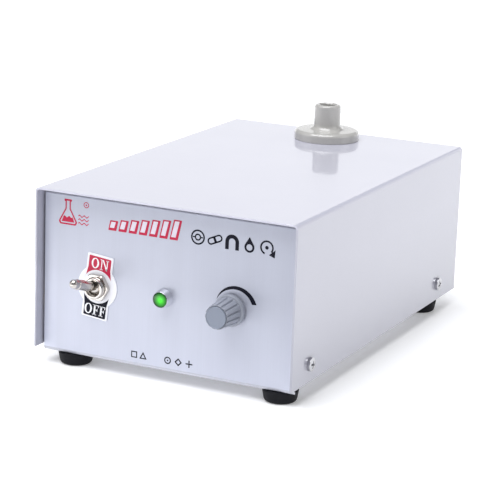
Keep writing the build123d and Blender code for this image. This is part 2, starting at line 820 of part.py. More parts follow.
def board_places():
    """Where the board's four spacers stand."""
    xs = (board_x - board_hole_x, board_x + board_hole_x)
    return [(x, y) for x in xs for y in (board_y - board_hole_y, board_y + board_hole_y)]


def make_control_board():
    """Circuit board of the speed control."""
    top = board_z + board_thickness
    half_x, half_y = board_width / 2, board_depth / 2
    board = block((board_x - half_x, board_x + half_x), (board_y - half_y, board_y + half_y), (board_z, top))
    for x, y in board_places():
        board -= post(m3_radius + 0.2, board_z - 1, top + 1, x, y)
    return board


def make_board_standoffs():
    """Short hexagonal spacers under the board."""
    return group([spacer(5.5, board_z, x, y) for x, y in board_places()])


def make_board_components():
    """Two capacitors, a terminal block and a row of small parts."""
    top = board_z + board_thickness
    parts = []
    for x in (board_x - 8, board_x + 10):
        parts.append(fillet(post(7.8, top, top + 25, x, board_y - 24).edges(), 0.6))
    terminals = block((board_x - 16, board_x + 16), (board_y + 24, board_y + 34), (top, top + 9))
    for number in range(5):
        terminals -= post(1.8, top + 6, top + 10, board_x - 12.8 + number * 6.4, board_y + 29)
    parts.append(terminals)
    for number in range(5):
        y = board_y - 8 + number * 6
        parts.append(block((board_x - 22, board_x - 12), (y, y + 3), (top, top + 3)))
    return group(parts)


def make_heat_sink():
    """Finned heat sink of the power transistor."""
    top = board_z + board_thickness
    sink = block((0, 4), (-14, 14), (top, top + 26))
    for number in range(5):
        y = -13.0 + number * 6.1
        sink += block((3.5, 14), (y, y + 1.6), (top, top + 26))
    return Pos(board_x + 6, board_y + 4, 0) * sink


def make_m3_screws():
    """All M3 pan-head screws: drive, board, transformer and inlet."""
    length, short_length = 8.0, 4.5
    screw = pan_screw(m3_radius, m3_head_radius, m3_head_height, length)
    short = pan_screw(m3_radius, m3_head_radius, m3_head_height, short_length)
    placed = []
    for x, y in standoff_places():
        placed.append(Pos(x, y, motor_top_z + plate_thickness) * screw)
        placed.append(Pos(x, y, tray_z) * Rot(180, 0, 0) * screw)
    for x, y in motor_screw_places():
        placed.append(Pos(x, y, motor_top_z + plate_thickness) * short)
    for x, y in board_places():
        placed.append(Pos(x, y, board_z + board_thickness) * short)
        placed.append(Pos(x, y, tray_z) * Rot(180, 0, 0) * short)
    for x, y in transformer_screw_places():
        placed.append(Pos(x, y, floor_z + bracket_sheet) * short)
    for x in (-inlet_screw_spacing / 2, inlet_screw_spacing / 2):
        placed.append(inlet_place * Pos(x, 0, inlet_flange) * screw)
    return group(placed)


# Rear panel

def make_mains_inlet():
    """Appliance inlet with a recessed socket for a standard lead."""
    flange_width, flange_height, corner = 50.0, 25.0, 4.0
    flange = extrude(RectangleRounded(flange_width, flange_height, corner), inlet_flange)
    flange = fillet(flange.faces().sort_by(Axis.Z)[-1].edges(), 0.6)
    half_x, half_y = inlet_body_width / 2, inlet_body_height / 2
    body = block((-half_x, half_x), (-half_y, half_y), (-inlet_depth, 0.5))
    side, rise, slant, socket_depth = 12.3, 8.4, 4.2, 16.8
    socket = make_face(Polyline(
        (-side, -rise), (side, -rise), (side, rise - slant),
        (side - slant, rise), (slant - side, rise), (-side, rise - slant), close=True,
    ))
    recess = Pos(0, 0, inlet_flange - socket_depth) * extrude(socket, socket_depth + 1)
    inlet = flange + body - recess
    for x, y in pin_places:
        inlet -= block((x - 1.05, x + 1.05), (y - 2.05, y + 2.05), (-inlet_depth - 1, 0))
    for x in (-inlet_screw_spacing / 2, inlet_screw_spacing / 2):
        inlet -= post(m3_radius + 0.2, -1, inlet_flange + 1, x)
    return inlet_place * inlet


def make_inlet_pins():
    """Live, neutral and earth pins with their rear tabs."""
    pins = []
    for x, y in pin_places:
        tip = 0.5 if y < 0 else 1.5
        pin = block((x - 1.0, x + 1.0), (y - 2.0, y + 2.0), (-inlet_depth - 2, tip))
        pin = chamfer(pin.faces().sort_by(Axis.Z)[-1].edges(), 0.5)
        tab = block((x - 0.4, x + 0.4), (y - 3.1, y + 3.1), (-inlet_depth - 9, -inlet_depth - 2))
        pins.append(inlet_place * (pin + tab))
    return group(pins)


def make_fuse_holder():
    """Moulded holder for a 5 x 20 mm fuse."""
    radius, rim_radius, rim, depth = fuse_bore_radius, 8.2, 2.2, 24.0
    holder = turned(
        [(0, -depth), (radius, -depth), (radius, 0), (rim_radius, 0), (rim_radius, rim), (0, rim)],
        [0, 0, 0, 0, 0.6, 0],
    )
    return fuse_place * (holder - post(4.6, -22, 3))


def make_fuse_holder_nut():
    """Hexagonal nut behind the rear wall."""
    flats, height = 17.0, 3.0
    return fuse_place * hex_nut(flats, fuse_bore_radius + thread_gap, -sheet - height, -sheet)


def make_fuse_cap():
    """Quarter-turn cap with a screwdriver slot and a socket for the fuse."""
    cap = turned(
        [(0, -4), (4.1, -4), (4.1, 2.6), (6.8, 2.6), (6.5, fuse_cap_out), (0, fuse_cap_out)],
        [0, 0, 0, 0.4, 1.0, 0],
    )
    cap -= post(2.95, -5, 1.0)
    cap -= block((-4.5, 4.5), (-0.7, 0.7), (fuse_cap_out - 1.4, fuse_cap_out + 1))
    for number in range(12):
        flute = Rot(0, 0, number * 30) * Pos(7.3, 0, 0) * Cylinder(0.9, 40)
        cap -= flute & block((-9, 9), (-9, 9), (3.6, 20))
    return fuse_place * cap


def make_fuse():
    """Glass fuse with two metal end caps."""
    radius, bore, glass_radius = 2.6, 2.4, 2.3
    low, high, shell, wall = -20.0, 0.5, 5.0, 0.5
    rear_end = post(radius, low, low + shell + wall) - post(bore, low + wall, low + shell + 1)
    front_end = post(radius, high - shell, high) - post(bore, high - shell - 1, high - wall)
    glass = post(glass_radius, low + wall + 0.1, high - wall - 0.1)
    return group([fuse_place * shape for shape in (rear_end, front_end, glass)])


# Wiring: each loom's corners are (x, y from the cover's front edge, z), clear of all it passes

def along(points):
    """Moves a loom's corners back from the cover's front edge."""
    return [(x, front_edge_y + y, z) for x, y, z in points]


def make_mains_wires():
    """Loom from the inlet along the left side to the toggle switch."""
    route = [
        (-47.5, 213, 43), (-51, 198, 42), (-62, 176, 40), (-66, 128, 38),
        (-63, 84, 41), (-52, 58, 47), (-46, 44.5, 49.5),
    ]
    return wire(along(route), mains_wire_radius)


def make_motor_wires():
    """Loom from the motor to the control board."""
    route = [(-15, 131.5, 36), (-17, 139, 36.5), (-22, 146, 33), (-28, 152, 26)]
    return wire(along(route), control_wire_radius)


def make_control_wires():
    """Looms from the potentiometer and from the lamp to the control board."""
    speed = [
        (knob_x, 15, 26), (50, 32, 21), (62, 60, 18), (65, 108, 17),
        (55, 150, 18), (28, 165, 20), (-2.5, 171, 22.8),
    ]
    lamp = [
        (-3, 27, 49), (-12, 42, 45), (-34, 52, 38), (-54, 66, 33),
        (-57, 96, 31), (-54, 126, 31), (-56, 150, 30), (-52, 172, 25.4),
    ]
    return group([wire(along(speed), control_wire_radius), wire(along(lamp), control_wire_radius)])


nodes = {
    "top_cover": make_top_cover,
    "chassis_tray": make_chassis_tray,
    "front_label": make_front_label,
    "rubber_feet": make_rubber_feet,
    "foot_screws": make_foot_screws,
    "foot_nuts": make_foot_nuts,
    "cover_screws": make_cover_screws,
    "cover_clip_nuts": make_cover_clip_nuts,
    "rod_holder": make_rod_holder,
    "rod_holder_nut": make_rod_holder_nut,
    "toggle_body": make_toggle_body,
    "toggle_bushing": make_toggle_bushing,
    "toggle_nut": make_toggle_nut,
    "toggle_lock_washer": make_toggle_lock_washer,
    "toggle_back_nut": make_toggle_back_nut,
    "toggle_lever": make_toggle_lever,
    "toggle_rocker": make_toggle_rocker,
    "toggle_terminals": make_toggle_terminals,
    "toggle_legend_plate": make_toggle_legend_plate,
    "lamp_bezel": make_lamp_bezel,
    "lamp_lens": make_lamp_lens,
    "lamp_nut": make_lamp_nut,
    "lamp_leads": make_lamp_leads,
    "pot_can": make_pot_can,
    "pot_bushing": make_pot_bushing,
    "pot_nut": make_pot_nut,
    "pot_shaft": make_pot_shaft,
    "pot_wiper": make_pot_wiper,
    "pot_terminals": make_pot_terminals,
    "knob_body": make_knob_body,
    "knob_cap": make_knob_cap,
    "knob_collet": make_knob_collet,
    "motor_plate": make_motor_plate,
    "motor_standoffs": make_motor_standoffs,
    "motor_can": make_motor_can,
    "motor_end_bell": make_motor_end_bell,
    "motor_bearings": make_motor_bearings,
    "motor_field_magnets": make_motor_field_magnets,
    "motor_armature": make_motor_armature,
    "motor_brushes": make_motor_brushes,
    "motor_shaft": make_motor_shaft,
    "magnet_carrier": make_magnet_carrier,
    "drive_magnets": make_drive_magnets,
    "transformer_core": make_transformer_core,
    "transformer_winding": make_transformer_winding,
    "transformer_bracket": make_transformer_bracket,
    "control_board": make_control_board,
    "board_standoffs": make_board_standoffs,
    "board_components": make_board_components,
    "heat_sink": make_heat_sink,
    "m3_screws": make_m3_screws,
    "mains_inlet": make_mains_inlet,
    "inlet_pins": make_inlet_pins,
    "fuse_holder": make_fuse_holder,
    "fuse_holder_nut": make_fuse_holder_nut,
    "fuse_cap": make_fuse_cap,
    "fuse": make_fuse,
    "mains_wires": make_mains_wires,
    "motor_wires": make_motor_wires,
    "control_wires": make_control_wires,
}

os.makedirs("parts", exist_ok=True)
for name, make in nodes.items():
    export_step(make(), f"parts/{name}.step")
print(len(nodes), "nodes; front edge of the cover at y =", round(front_edge_y, 3))
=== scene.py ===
import json
import math
import bpy
import bmesh
from mathutils import Matrix, Vector


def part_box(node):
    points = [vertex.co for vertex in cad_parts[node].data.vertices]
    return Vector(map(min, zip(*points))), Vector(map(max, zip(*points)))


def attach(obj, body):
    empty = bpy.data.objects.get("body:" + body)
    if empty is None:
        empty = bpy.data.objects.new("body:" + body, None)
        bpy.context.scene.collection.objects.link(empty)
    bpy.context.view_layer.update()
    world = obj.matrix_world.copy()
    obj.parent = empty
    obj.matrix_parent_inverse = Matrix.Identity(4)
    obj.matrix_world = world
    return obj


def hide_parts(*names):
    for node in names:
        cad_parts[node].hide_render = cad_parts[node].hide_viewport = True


# Looks of the bench-top magnetic stirrer. Shapes are built in millimetres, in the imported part's own frame.

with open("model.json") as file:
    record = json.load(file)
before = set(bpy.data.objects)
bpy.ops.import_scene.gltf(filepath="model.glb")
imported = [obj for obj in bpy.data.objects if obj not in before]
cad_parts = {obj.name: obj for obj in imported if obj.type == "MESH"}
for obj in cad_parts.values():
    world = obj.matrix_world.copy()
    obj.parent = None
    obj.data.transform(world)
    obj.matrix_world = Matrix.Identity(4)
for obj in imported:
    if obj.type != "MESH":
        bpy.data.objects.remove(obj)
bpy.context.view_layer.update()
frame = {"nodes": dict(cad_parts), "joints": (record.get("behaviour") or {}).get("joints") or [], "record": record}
MM = 0.001


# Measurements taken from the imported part

def mm_box(node):
    """Lowest and highest corner of a node, in millimetres."""
    low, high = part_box(node)
    return low / MM, high / MM


def mm_centre(node):
    low, high = mm_box(node)
    return (low + high) / 2


cover_low, cover_high = mm_box("top_cover")
film_low, film_high = mm_box("front_label")
panel_y = film_low.y
toggle = mm_centre("toggle_nut")
lamp = mm_centre("lamp_bezel")
knob = mm_centre("knob_cap")
holder = mm_centre("rod_holder")
foot_top = mm_box("rubber_feet")[1].z

# Sheet of the cover, and the outside radius of its bends
sheet, bend = 1.2, 2.4


def put(name, data):
    """A new object in the scene."""
    obj = bpy.data.objects.new(name, data)
    bpy.context.scene.collection.objects.link(obj)
    return obj


def spin(degrees, axis):
    """A rotation about an axis of the frame."""
    return Matrix.Rotation(math.radians(degrees), 4, axis)


def facing_front(x, z):
    """Local +Z points out of the front panel, local +Y points up."""
    return Matrix.Translation((x, panel_y, z)) @ spin(90, "X")


# Shapes: a part is (vertices, faces) in millimetres

def rounded(points, radii, steps=6):
    """A line through 2-D points with each corner rounded by its radius, or kept where that is 0."""
    points = [Vector(point) for point in points]
    count = len(points)
    line = []
    for index, (corner, radius) in enumerate(zip(points, radii)):
        if radius <= 0:
            line.append(tuple(corner))
            continue
        back = (points[index - 1] - corner).normalized()
        ahead = (points[(index + 1) % count] - corner).normalized()
        half = math.acos(max(-1.0, min(1.0, back.dot(ahead)))) / 2
        centre = corner + (back + ahead).normalized() * (radius / math.sin(half))
        start = corner + back * (radius / math.tan(half)) - centre
        end = corner + ahead * (radius / math.tan(half)) - centre
        first = math.atan2(start.y, start.x)
        sweep = (math.atan2(end.y, end.x) - first + math.pi) % (2 * math.pi) - math.pi
        for step in range(steps + 1):
            angle = first + sweep * step / steps
            line.append((centre.x + radius * math.cos(angle), centre.y + radius * math.sin(angle)))
    return line


def arc(radius, start, end, steps=24, centre=(0.0, 0.0)):
    """Points on an arc, angles in degrees."""
    made = []
    for step in range(steps + 1):
        angle = math.radians(start + (end - start) * step / steps)
        made.append((centre[0] + radius * math.cos(angle), centre[1] + radius * math.sin(angle)))
    return made


def circle(radius, centre=(0.0, 0.0), steps=40):
    return arc(radius, 0, 360 - 360 / steps, steps - 1, centre)


def ellipse(wide, tall, centre):
    return [(centre[0] + wide * x, centre[1] + tall * y) for x, y in circle(1.0)]


def block(left, right, bottom, top):
    """An upright rectangle."""
    return [(left, bottom), (right, bottom), (right, top), (left, top)]


def thread(start, end, pitch, root, crest, peaks):
    """Outline of a thread's turns. The peaks are where its crest lies, as shares of the pitch."""
    line = []
    height = start
    while height < end:
        line += [(root, height)] + [(crest, height + pitch * share) for share in peaks]
        height += pitch
    return line


def turned(profile, steps=96, closed=False, wave=None):
    """Turns (radius, height) points about Z. wave(angle, index) adds to the radius of a point's ring."""
    verts, faces, rings = [], [], []
    for index, (radius, height) in enumerate(profile):
        if radius < 1e-6:
            rings.append([len(verts)])
            verts.append((0.0, 0.0, height))
            continue
        rings.append(list(range(len(verts), len(verts) + steps)))
        for step in range(steps):
            angle = 2 * math.pi * step / steps
            reach = radius + (wave(angle, index) if wave else 0.0)
            verts.append((reach * math.cos(angle), reach * math.sin(angle), height))
    pairs = list(zip(rings, rings[1:]))
    if closed:
        pairs.append((rings[-1], rings[0]))
    for lower, upper in pairs:
        for step in range(steps):
            after = (step + 1) % steps
            if len(lower) == 1:
                faces.append((lower[0], upper[after], upper[step]))
            elif len(upper) == 1:
                faces.append((lower[step], lower[after], upper[0]))
            else:
                faces.append((lower[step], lower[after], upper[after], upper[step]))
    return verts, faces


def plate(loops, low, high, bevel=0.0):
    """A flat sheet between two heights. Its outline is the first loop and the others are holes."""
    curve = bpy.data.curves.new("outline", "CURVE")
    curve.dimensions = "2D"
    curve.fill_mode = "BOTH"
    curve.extrude = (high - low) / 2 - bevel
    curve.bevel_depth = bevel
    curve.bevel_resolution = 2
    curve.offset = -bevel
    for loop in loops:
        spline = curve.splines.new("POLY")
        spline.points.add(len(loop) - 1)
        for point, (x, y) in zip(spline.points, loop):
            point.co = (x, y, 0.0, 1.0)
        spline.use_cyclic_u = True
    outline = put("outline", curve)
    graph = bpy.context.evaluated_depsgraph_get()
    mesh = bpy.data.meshes.new_from_object(outline.evaluated_get(graph))
    middle = (low + high) / 2
    verts = [(v.co.x, v.co.y, v.co.z + middle) for v in mesh.vertices]
    faces = [tuple(p.vertices) for p in mesh.polygons]
    bpy.data.meshes.remove(mesh)
    bpy.data.objects.remove(outline)
    bpy.data.curves.remove(curve)
    return verts, faces


def prism(outline, low, high):
    """An outline in X and Z stretched along Y."""
    count = len(outline)
    verts = [(x, y, z) for y in (low, high) for x, z in outline]
    faces = [tuple(range(count)), tuple(range(2 * count - 1, count - 1, -1))]
    for corner in range(count):
        after = (corner + 1) % count
        faces.append((corner, corner + count, after + count, after))
    return verts, faces


def softened(part, width, angle, segments):
    """The part with every edge sharper than the angle rounded."""
    work = bmesh.new()
    made = [work.verts.new(v) for v in part[0]]
    for face in part[1]:
        work.faces.new([made[i] for i in face])
    bmesh.ops.remove_doubles(work, verts=work.verts, dist=1e-4)
    bmesh.ops.recalc_face_normals(work, faces=work.faces)
    limit = math.radians(angle)
    sharp = [edge for edge in work.edges if len(edge.link_faces) == 2 and edge.calc_face_angle(0) > limit]
    bmesh.ops.bevel(work, geom=sharp, offset=width, segments=segments, profile=0.5, affect="EDGES",
                    clamp_overlap=True)
    work.verts.index_update()
    verts = [tuple(v.co) for v in work.verts]
    faces = [tuple(v.index for v in face.verts) for face in work.faces]
    work.free()
    return verts, faces


def moved(part, matrix):
    """The part in another place."""
    return [tuple(matrix @ Vector(v)) for v in part[0]], part[1]


def joined(*parts):
    """Several parts as one."""
    verts, faces = [], []
    for part in parts:
        start = len(verts)
        verts.extend(part[0])
        faces.extend(tuple(i + start for i in face) for face in part[1])
    return verts, faces


def add(name, part, slot, replaces=(), body="case", sharp=40.0, material=None):
    """A piece that rides on its body, in its slot's material or another, smooth up to a sharp angle."""
    mesh = bpy.data.meshes.new(name)
    mesh.from_pydata([tuple(c * MM for c in v) for v in part[0]], [], part[1])
    work = bmesh.new()
    work.from_mesh(mesh)
    bmesh.ops.remove_doubles(work, verts=work.verts, dist=1e-7)
    bmesh.ops.recalc_face_normals(work, faces=work.faces)
    work.to_mesh(mesh)
    work.free()
    mesh.shade_smooth()
    mesh.set_sharp_from_angle(angle=math.radians(sharp))
    mesh.materials.append(material or materials[slot])
    obj = put(name, mesh)
    weights = obj.modifiers.new("even shading", "WEIGHTED_NORMAL")
    weights.keep_sharp = True
    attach(obj, body)
    if replaces:
        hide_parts(*replaces)


# Materials

def linear(colour):
    """Screen colour, 0 to 255, as the linear colour that a shader takes."""
    made = []
    for level in colour:
        share = level / 255
        made.append(share / 12.92 if share <= 0.04045 else ((share + 0.055) / 1.055) ** 2.4)
    return made


# Sockets of the Mix node for a share and two colours, and radians in one unit of the Wave node
MIX_INPUTS, MIX_RESULT = (0, 6, 7), 2
WAVE_RADIANS = 20


class Paint:
    """A node material built up around one Principled shader, on the piece's own coordinates."""

    def __init__(self, name, metallic=0.0, **sockets):
        self.material = bpy.data.materials.new(name)
        self.material.use_nodes = True
        self.tree = self.material.node_tree
        self.shader = self.tree.nodes["Principled BSDF"]
        self.shader.inputs["Metallic"].default_value = metallic
        for socket, value in sockets.items():
            self.shader.inputs[socket.replace("_", " ")].default_value = value
        self.place = self.node("TexCoord").outputs["Object"]
        self.height = None

    def node(self, kind, **settings):
        made = self.tree.nodes.new("ShaderNode" + kind)
        for key, value in settings.items():
            setattr(made, key, value)
        return made

    def link(self, source, target):
        self.tree.links.new(source, target)

    def stretched(self, stretch):
        """The piece's coordinates, scaled along each axis."""
        mapping = self.node("Mapping")
        mapping.inputs["Scale"].default_value = stretch
        self.link(self.place, mapping.inputs["Vector"])
        return mapping.outputs["Vector"]

    def noise(self, size, stretch=(1, 1, 1), detail=3.0):
        """Noise whose grains are about size millimetres, from 0 to 1."""
        made = self.node("TexNoise")
        made.inputs["Scale"].default_value = 1000 / size
        made.inputs["Detail"].default_value = detail
        self.link(self.stretched(stretch), made.inputs["Vector"])
        return made.outputs["Fac"]

    def bands(self, width, direction, distortion=0.0):
        """Stripes across X, Y or Z, dark and light in turn, each a width in millimetres, from 0 to 1."""
        made = self.node("TexWave", bands_direction=direction)
        made.inputs["Scale"].default_value = 1000 / width / WAVE_RADIANS * math.pi
        made.inputs["Distortion"].default_value = distortion
        self.link(self.place, made.inputs["Vector"])
        return made.outputs["Fac"]

    def spread(self, value, low, high, start=0.3, end=0.7):
        """value between start and end, drawn out from low to high."""
        made = self.node("MapRange")
        for key, number in (("From Min", start), ("From Max", end), ("To Min", low), ("To Max", high)):
            made.inputs[key].default_value = number
        self.link(value, made.inputs["Value"])
        return made.outputs["Result"]

    def tinted(self, colour, share, factor):
        """A colour made lighter or darker by a factor where the share is 1, and left alone where it is 0."""
        mixed = self.node("VectorMath", operation="SCALE")
        self.link(colour, mixed.inputs[0])
        self.link(self.spread(share, 1.0, factor, 0.0, 1.0), mixed.inputs["Scale"])
        return mixed.outputs[0]

    def blend(self, share, one, other):
        """A colour between two. Each of the three is a value or a socket."""
        made = self.node("Mix", data_type="RGBA")
        for socket, given in zip(MIX_INPUTS, (share, one, other)):
            if isinstance(given, float):
                made.inputs[socket].default_value = given
            elif isinstance(given, (list, tuple)):
                made.inputs[socket].default_value = (*given, 1.0)
            else:
                self.link(given, made.inputs[socket])
        return made.outputs[MIX_RESULT]

    def coloured(self, colour):
        self.link(colour, self.shader.inputs["Base Color"])

    def rough(self, value):
        self.link(value, self.shader.inputs["Roughness"])

    def bump(self, value, depth, strength=0.5):
        """Relief of a depth in millimetres. Several add up."""
        made = self.node("Bump")
        made.inputs["Strength"].default_value = strength
        made.inputs["Distance"].default_value = depth * MM
        self.link(value, made.inputs["Height"])
        if self.height:
            self.link(self.height, made.inputs["Normal"])
        self.height = made.outputs["Normal"]
        self.link(self.height, self.shader.inputs["Normal"])

    def distance(self, point, stretch=(1, 1, 1)):
        """Distance in millimetres from a point, or from a line or plane along the axes with 0 in stretch."""
        made = self.node("VectorMath", operation="SUBTRACT")
        self.link(self.place, made.inputs[0])
        made.inputs[1].default_value = [c * MM for c in point]
        scaled = self.node("VectorMath", operation="MULTIPLY")
        self.link(made.outputs[0], scaled.inputs[0])
        scaled.inputs[1].default_value = [c / MM for c in stretch]
        length = self.node("VectorMath", operation="LENGTH")
        self.link(scaled.outputs[0], length.inputs[0])
        return length.outputs["Value"]


def shade(colour, factor):
    """A colour made darker or lighter."""
    return [min(1.0, c * factor) for c in colour]


def plain(name, colour, rough, metallic=0.0, mottle=0.06, size=6.0, grain=0.35, relief=0.01,
          stretch=(1, 1, 1), **sockets):
    """A finish with slow mottling, uneven roughness and a fine relief."""
    paint = Paint(name, metallic, **sockets)
    slow = paint.noise(size, stretch)
    fine = paint.noise(grain, stretch, 2.0)
    paint.coloured(paint.blend(slow, shade(colour, 1 - mottle), shade(colour, 1 + mottle)))
    paint.rough(paint.spread(fine, rough * 0.85, rough * 1.15))
    paint.bump(fine, relief)
    return paint.material


def enamel(name, colour, rough):
    """Silver-grey enamel with fine flakes and a gloss, with painted shade that darkens it near the bench and
    painted light that lightens it at its top edge.
    """
    painted_low_shading, painted_shade_from, painted_shade_to = 0.86, 12.0, 70.0
    painted_top_light, crest_depth, crest_end = 1.28, 2.5, 0.2
    paint = Paint(name, Coat_Weight=1.0, Coat_Roughness=0.05, Coat_IOR=1.65, Specular_IOR_Level=0.3)
    flakes = paint.noise(0.35, detail=2.0)
    slow = paint.noise(60.0)
    base = paint.blend(paint.spread(flakes, 0, 1), shade(colour, 0.965), shade(colour, 1.035))
    base = paint.blend(paint.spread(slow, 0.0, 0.5), base, shade(colour, 0.97))
    rise = paint.distance((0.0, 0.0, 0.0), (0, 0, 1))
    # Painted shade: the colour darkens towards the bench, standing in for less light on the lower sides.
    base = paint.tinted(base, paint.spread(rise, 1.0, 0.0, painted_shade_from, painted_shade_to), painted_low_shading)
    # Painted light: the colour lightens within a few millimetres of the cover's top, as if more light fell there.
    crest = paint.spread(rise, 0.0, 1.0, cover_high.z - crest_depth, cover_high.z - crest_end)
    paint.coloured(paint.tinted(base, crest, painted_top_light))
    paint.rough(paint.spread(slow, rough * 0.9, rough * 1.1))
    paint.bump(paint.noise(2.2, detail=1.0), 0.006, 0.35)
    paint.bump(paint.noise(90.0, detail=0.0), 0.12, 0.35)
    return paint.material


def silver_film(name, colour):
    """Printed silver film with a fine upright grain, with painted light that lightens it towards its lower and
    left edges.
    """
    painted_low_shading, painted_light_reach = 1.18, 48.0
    painted_left_light, left_light_reach = 1.2, 9.0
    paint = Paint(name, 0.35, Specular_IOR_Level=0.5)
    grain = paint.noise(0.55, (1.0, 1.0, 0.012), 4.0)
    streaks = paint.noise(9.0, (1.0, 1.0, 0.03), 2.0)
    slow = paint.noise(45.0)
    fine = paint.blend(paint.spread(grain, 0, 1), shade(colour, 0.965), shade(colour, 1.03))
    broad = paint.blend(paint.spread(streaks, 0, 1), shade(colour, 0.97), shade(colour, 1.03))
    rise = paint.distance((0.0, 0.0, film_low.z), (0, 0, 1))
    aside = paint.distance((film_low.x, 0.0, 0.0), (1, 0, 0))
    # Painted light: the film is made lighter towards its lower edge, as bounce from the floor, and near the left
    # wall, against the wall's shade.
    low = paint.spread(rise, 1.0, 0.0, 0.0, painted_light_reach)
    left = paint.spread(aside, 1.0, 0.0, 0.0, left_light_reach)
    toned = paint.tinted(paint.blend(0.5, fine, broad), low, painted_low_shading)
    paint.coloured(paint.tinted(toned, left, painted_left_light))
    paint.rough(paint.spread(grain, 0.36, 0.46))
    paint.bump(grain, 0.004, 0.3)
    paint.bump(slow, 0.10, 0.25)
    return paint.material


def turned_metal(name, colour, rough, stretch=(1, 1, 1), wear=0.08):
    """Bright metal with a fine grain. A stretch around an axis makes it the rings that a lathe leaves."""
    paint = Paint(name, 1.0)
    rings = paint.noise(0.22, stretch)
    smudge = paint.noise(3.0)
    paint.coloured(paint.blend(smudge, shade(colour, 1 - wear), shade(colour, 1 + wear * 0.4)))
    paint.rough(paint.spread(smudge, rough * 0.7, rough * 1.4))
    paint.bump(rings, 0.006, 0.4)
    return paint.material


def lit_lens(name):
    """Green lens, brightest over the lamp inside it, which sits a little right of its middle."""
    lamp_right, lamp_down = 0.55, 0.1
    core_radius, edge_radius = 0.9, 3.9
    edge_green, facet_green, core_green = (0.002, 0.03, 0.006), (0.02, 0.25, 0.02), (0.04, 0.66, 0.015)
    edge_glow, core_glow = 0.02, 0.45
    paint = Paint(name, Coat_Weight=0.15, Coat_Roughness=0.05, Roughness=0.2, Specular_IOR_Level=0.3)
    off = paint.distance((lamp.x + lamp_right, 0.0, lamp.z - lamp_down), (1, 0, 1))
    core = paint.spread(off, 1.0, 0.0, core_radius, edge_radius)
    green = paint.blend(core, edge_green, core_green)
    facets = paint.noise(0.5, detail=1.0)
    paint.coloured(paint.blend(paint.spread(facets, 0.0, 0.35), green, facet_green))
    paint.link(green, paint.shader.inputs["Emission Color"])
    glow = paint.spread(core, edge_glow, core_glow, 0.0, 1.0)
    paint.link(glow, paint.shader.inputs["Emission Strength"])
    paint.bump(facets, 0.03, 0.3)
    return paint.material


def circuit_board(name):
    """Green solder mask with the raised outlines of its tracks."""
    cell_size = 7
    paint = Paint(name, Coat_Weight=0.3)
    cells = paint.node("TexVoronoi", feature="DISTANCE_TO_EDGE")
    cells.inputs["Scale"].default_value = 1000 / cell_size
    paint.link(paint.stretched((1, 1, 0)), cells.inputs["Vector"])
    tracks = paint.spread(cells.outputs["Distance"], 1, 0, 0.04, 0.07)
    weave = paint.noise(0.6)
    green = paint.blend(weave, (0.008, 0.10, 0.03), (0.012, 0.14, 0.045))
    paint.coloured(paint.blend(tracks, green, (0.03, 0.26, 0.08)))
    paint.rough(paint.spread(weave, 0.3, 0.45))
    paint.bump(tracks, 0.04)
    return paint.material


def stacked(name, colour, width, direction, rough, metallic):
    """Laminations or turns of wire, seen as even stripes."""
    paint = Paint(name, metallic)
    stripes = paint.bands(width, direction, 0.4)
    stain = paint.noise(5.0)
    body = paint.blend(stripes, shade(colour, 0.55), shade(colour, 1.15))
    paint.coloured(paint.blend(paint.spread(stain, 0.0, 0.5), body, shade(colour, 0.8)))
    paint.rough(paint.spread(stain, rough * 0.8, rough * 1.2))
    paint.bump(stripes, 0.12)
    return paint.material


def fuse_glass(name):
    """Clear tube between two metal end caps."""
    glass_half, border = 5.0, 0.1
    paint = Paint(name, Transmission_Weight=0.8, IOR=1.45)
    off = paint.distance((0, mm_centre("fuse").y, 0), (0, 1, 0))
    cap = paint.spread(off, 0, 1, glass_half - border, glass_half + border)
    tarnish = paint.noise(1.2)
    metal = paint.blend(tarnish, (0.55, 0.55, 0.53), (0.72, 0.72, 0.70))
    paint.coloured(paint.blend(cap, (0.86, 0.9, 0.88), metal))
    paint.link(cap, paint.shader.inputs["Metallic"])
    paint.rough(paint.spread(tarnish, 0.08, 0.22))
    return paint.material


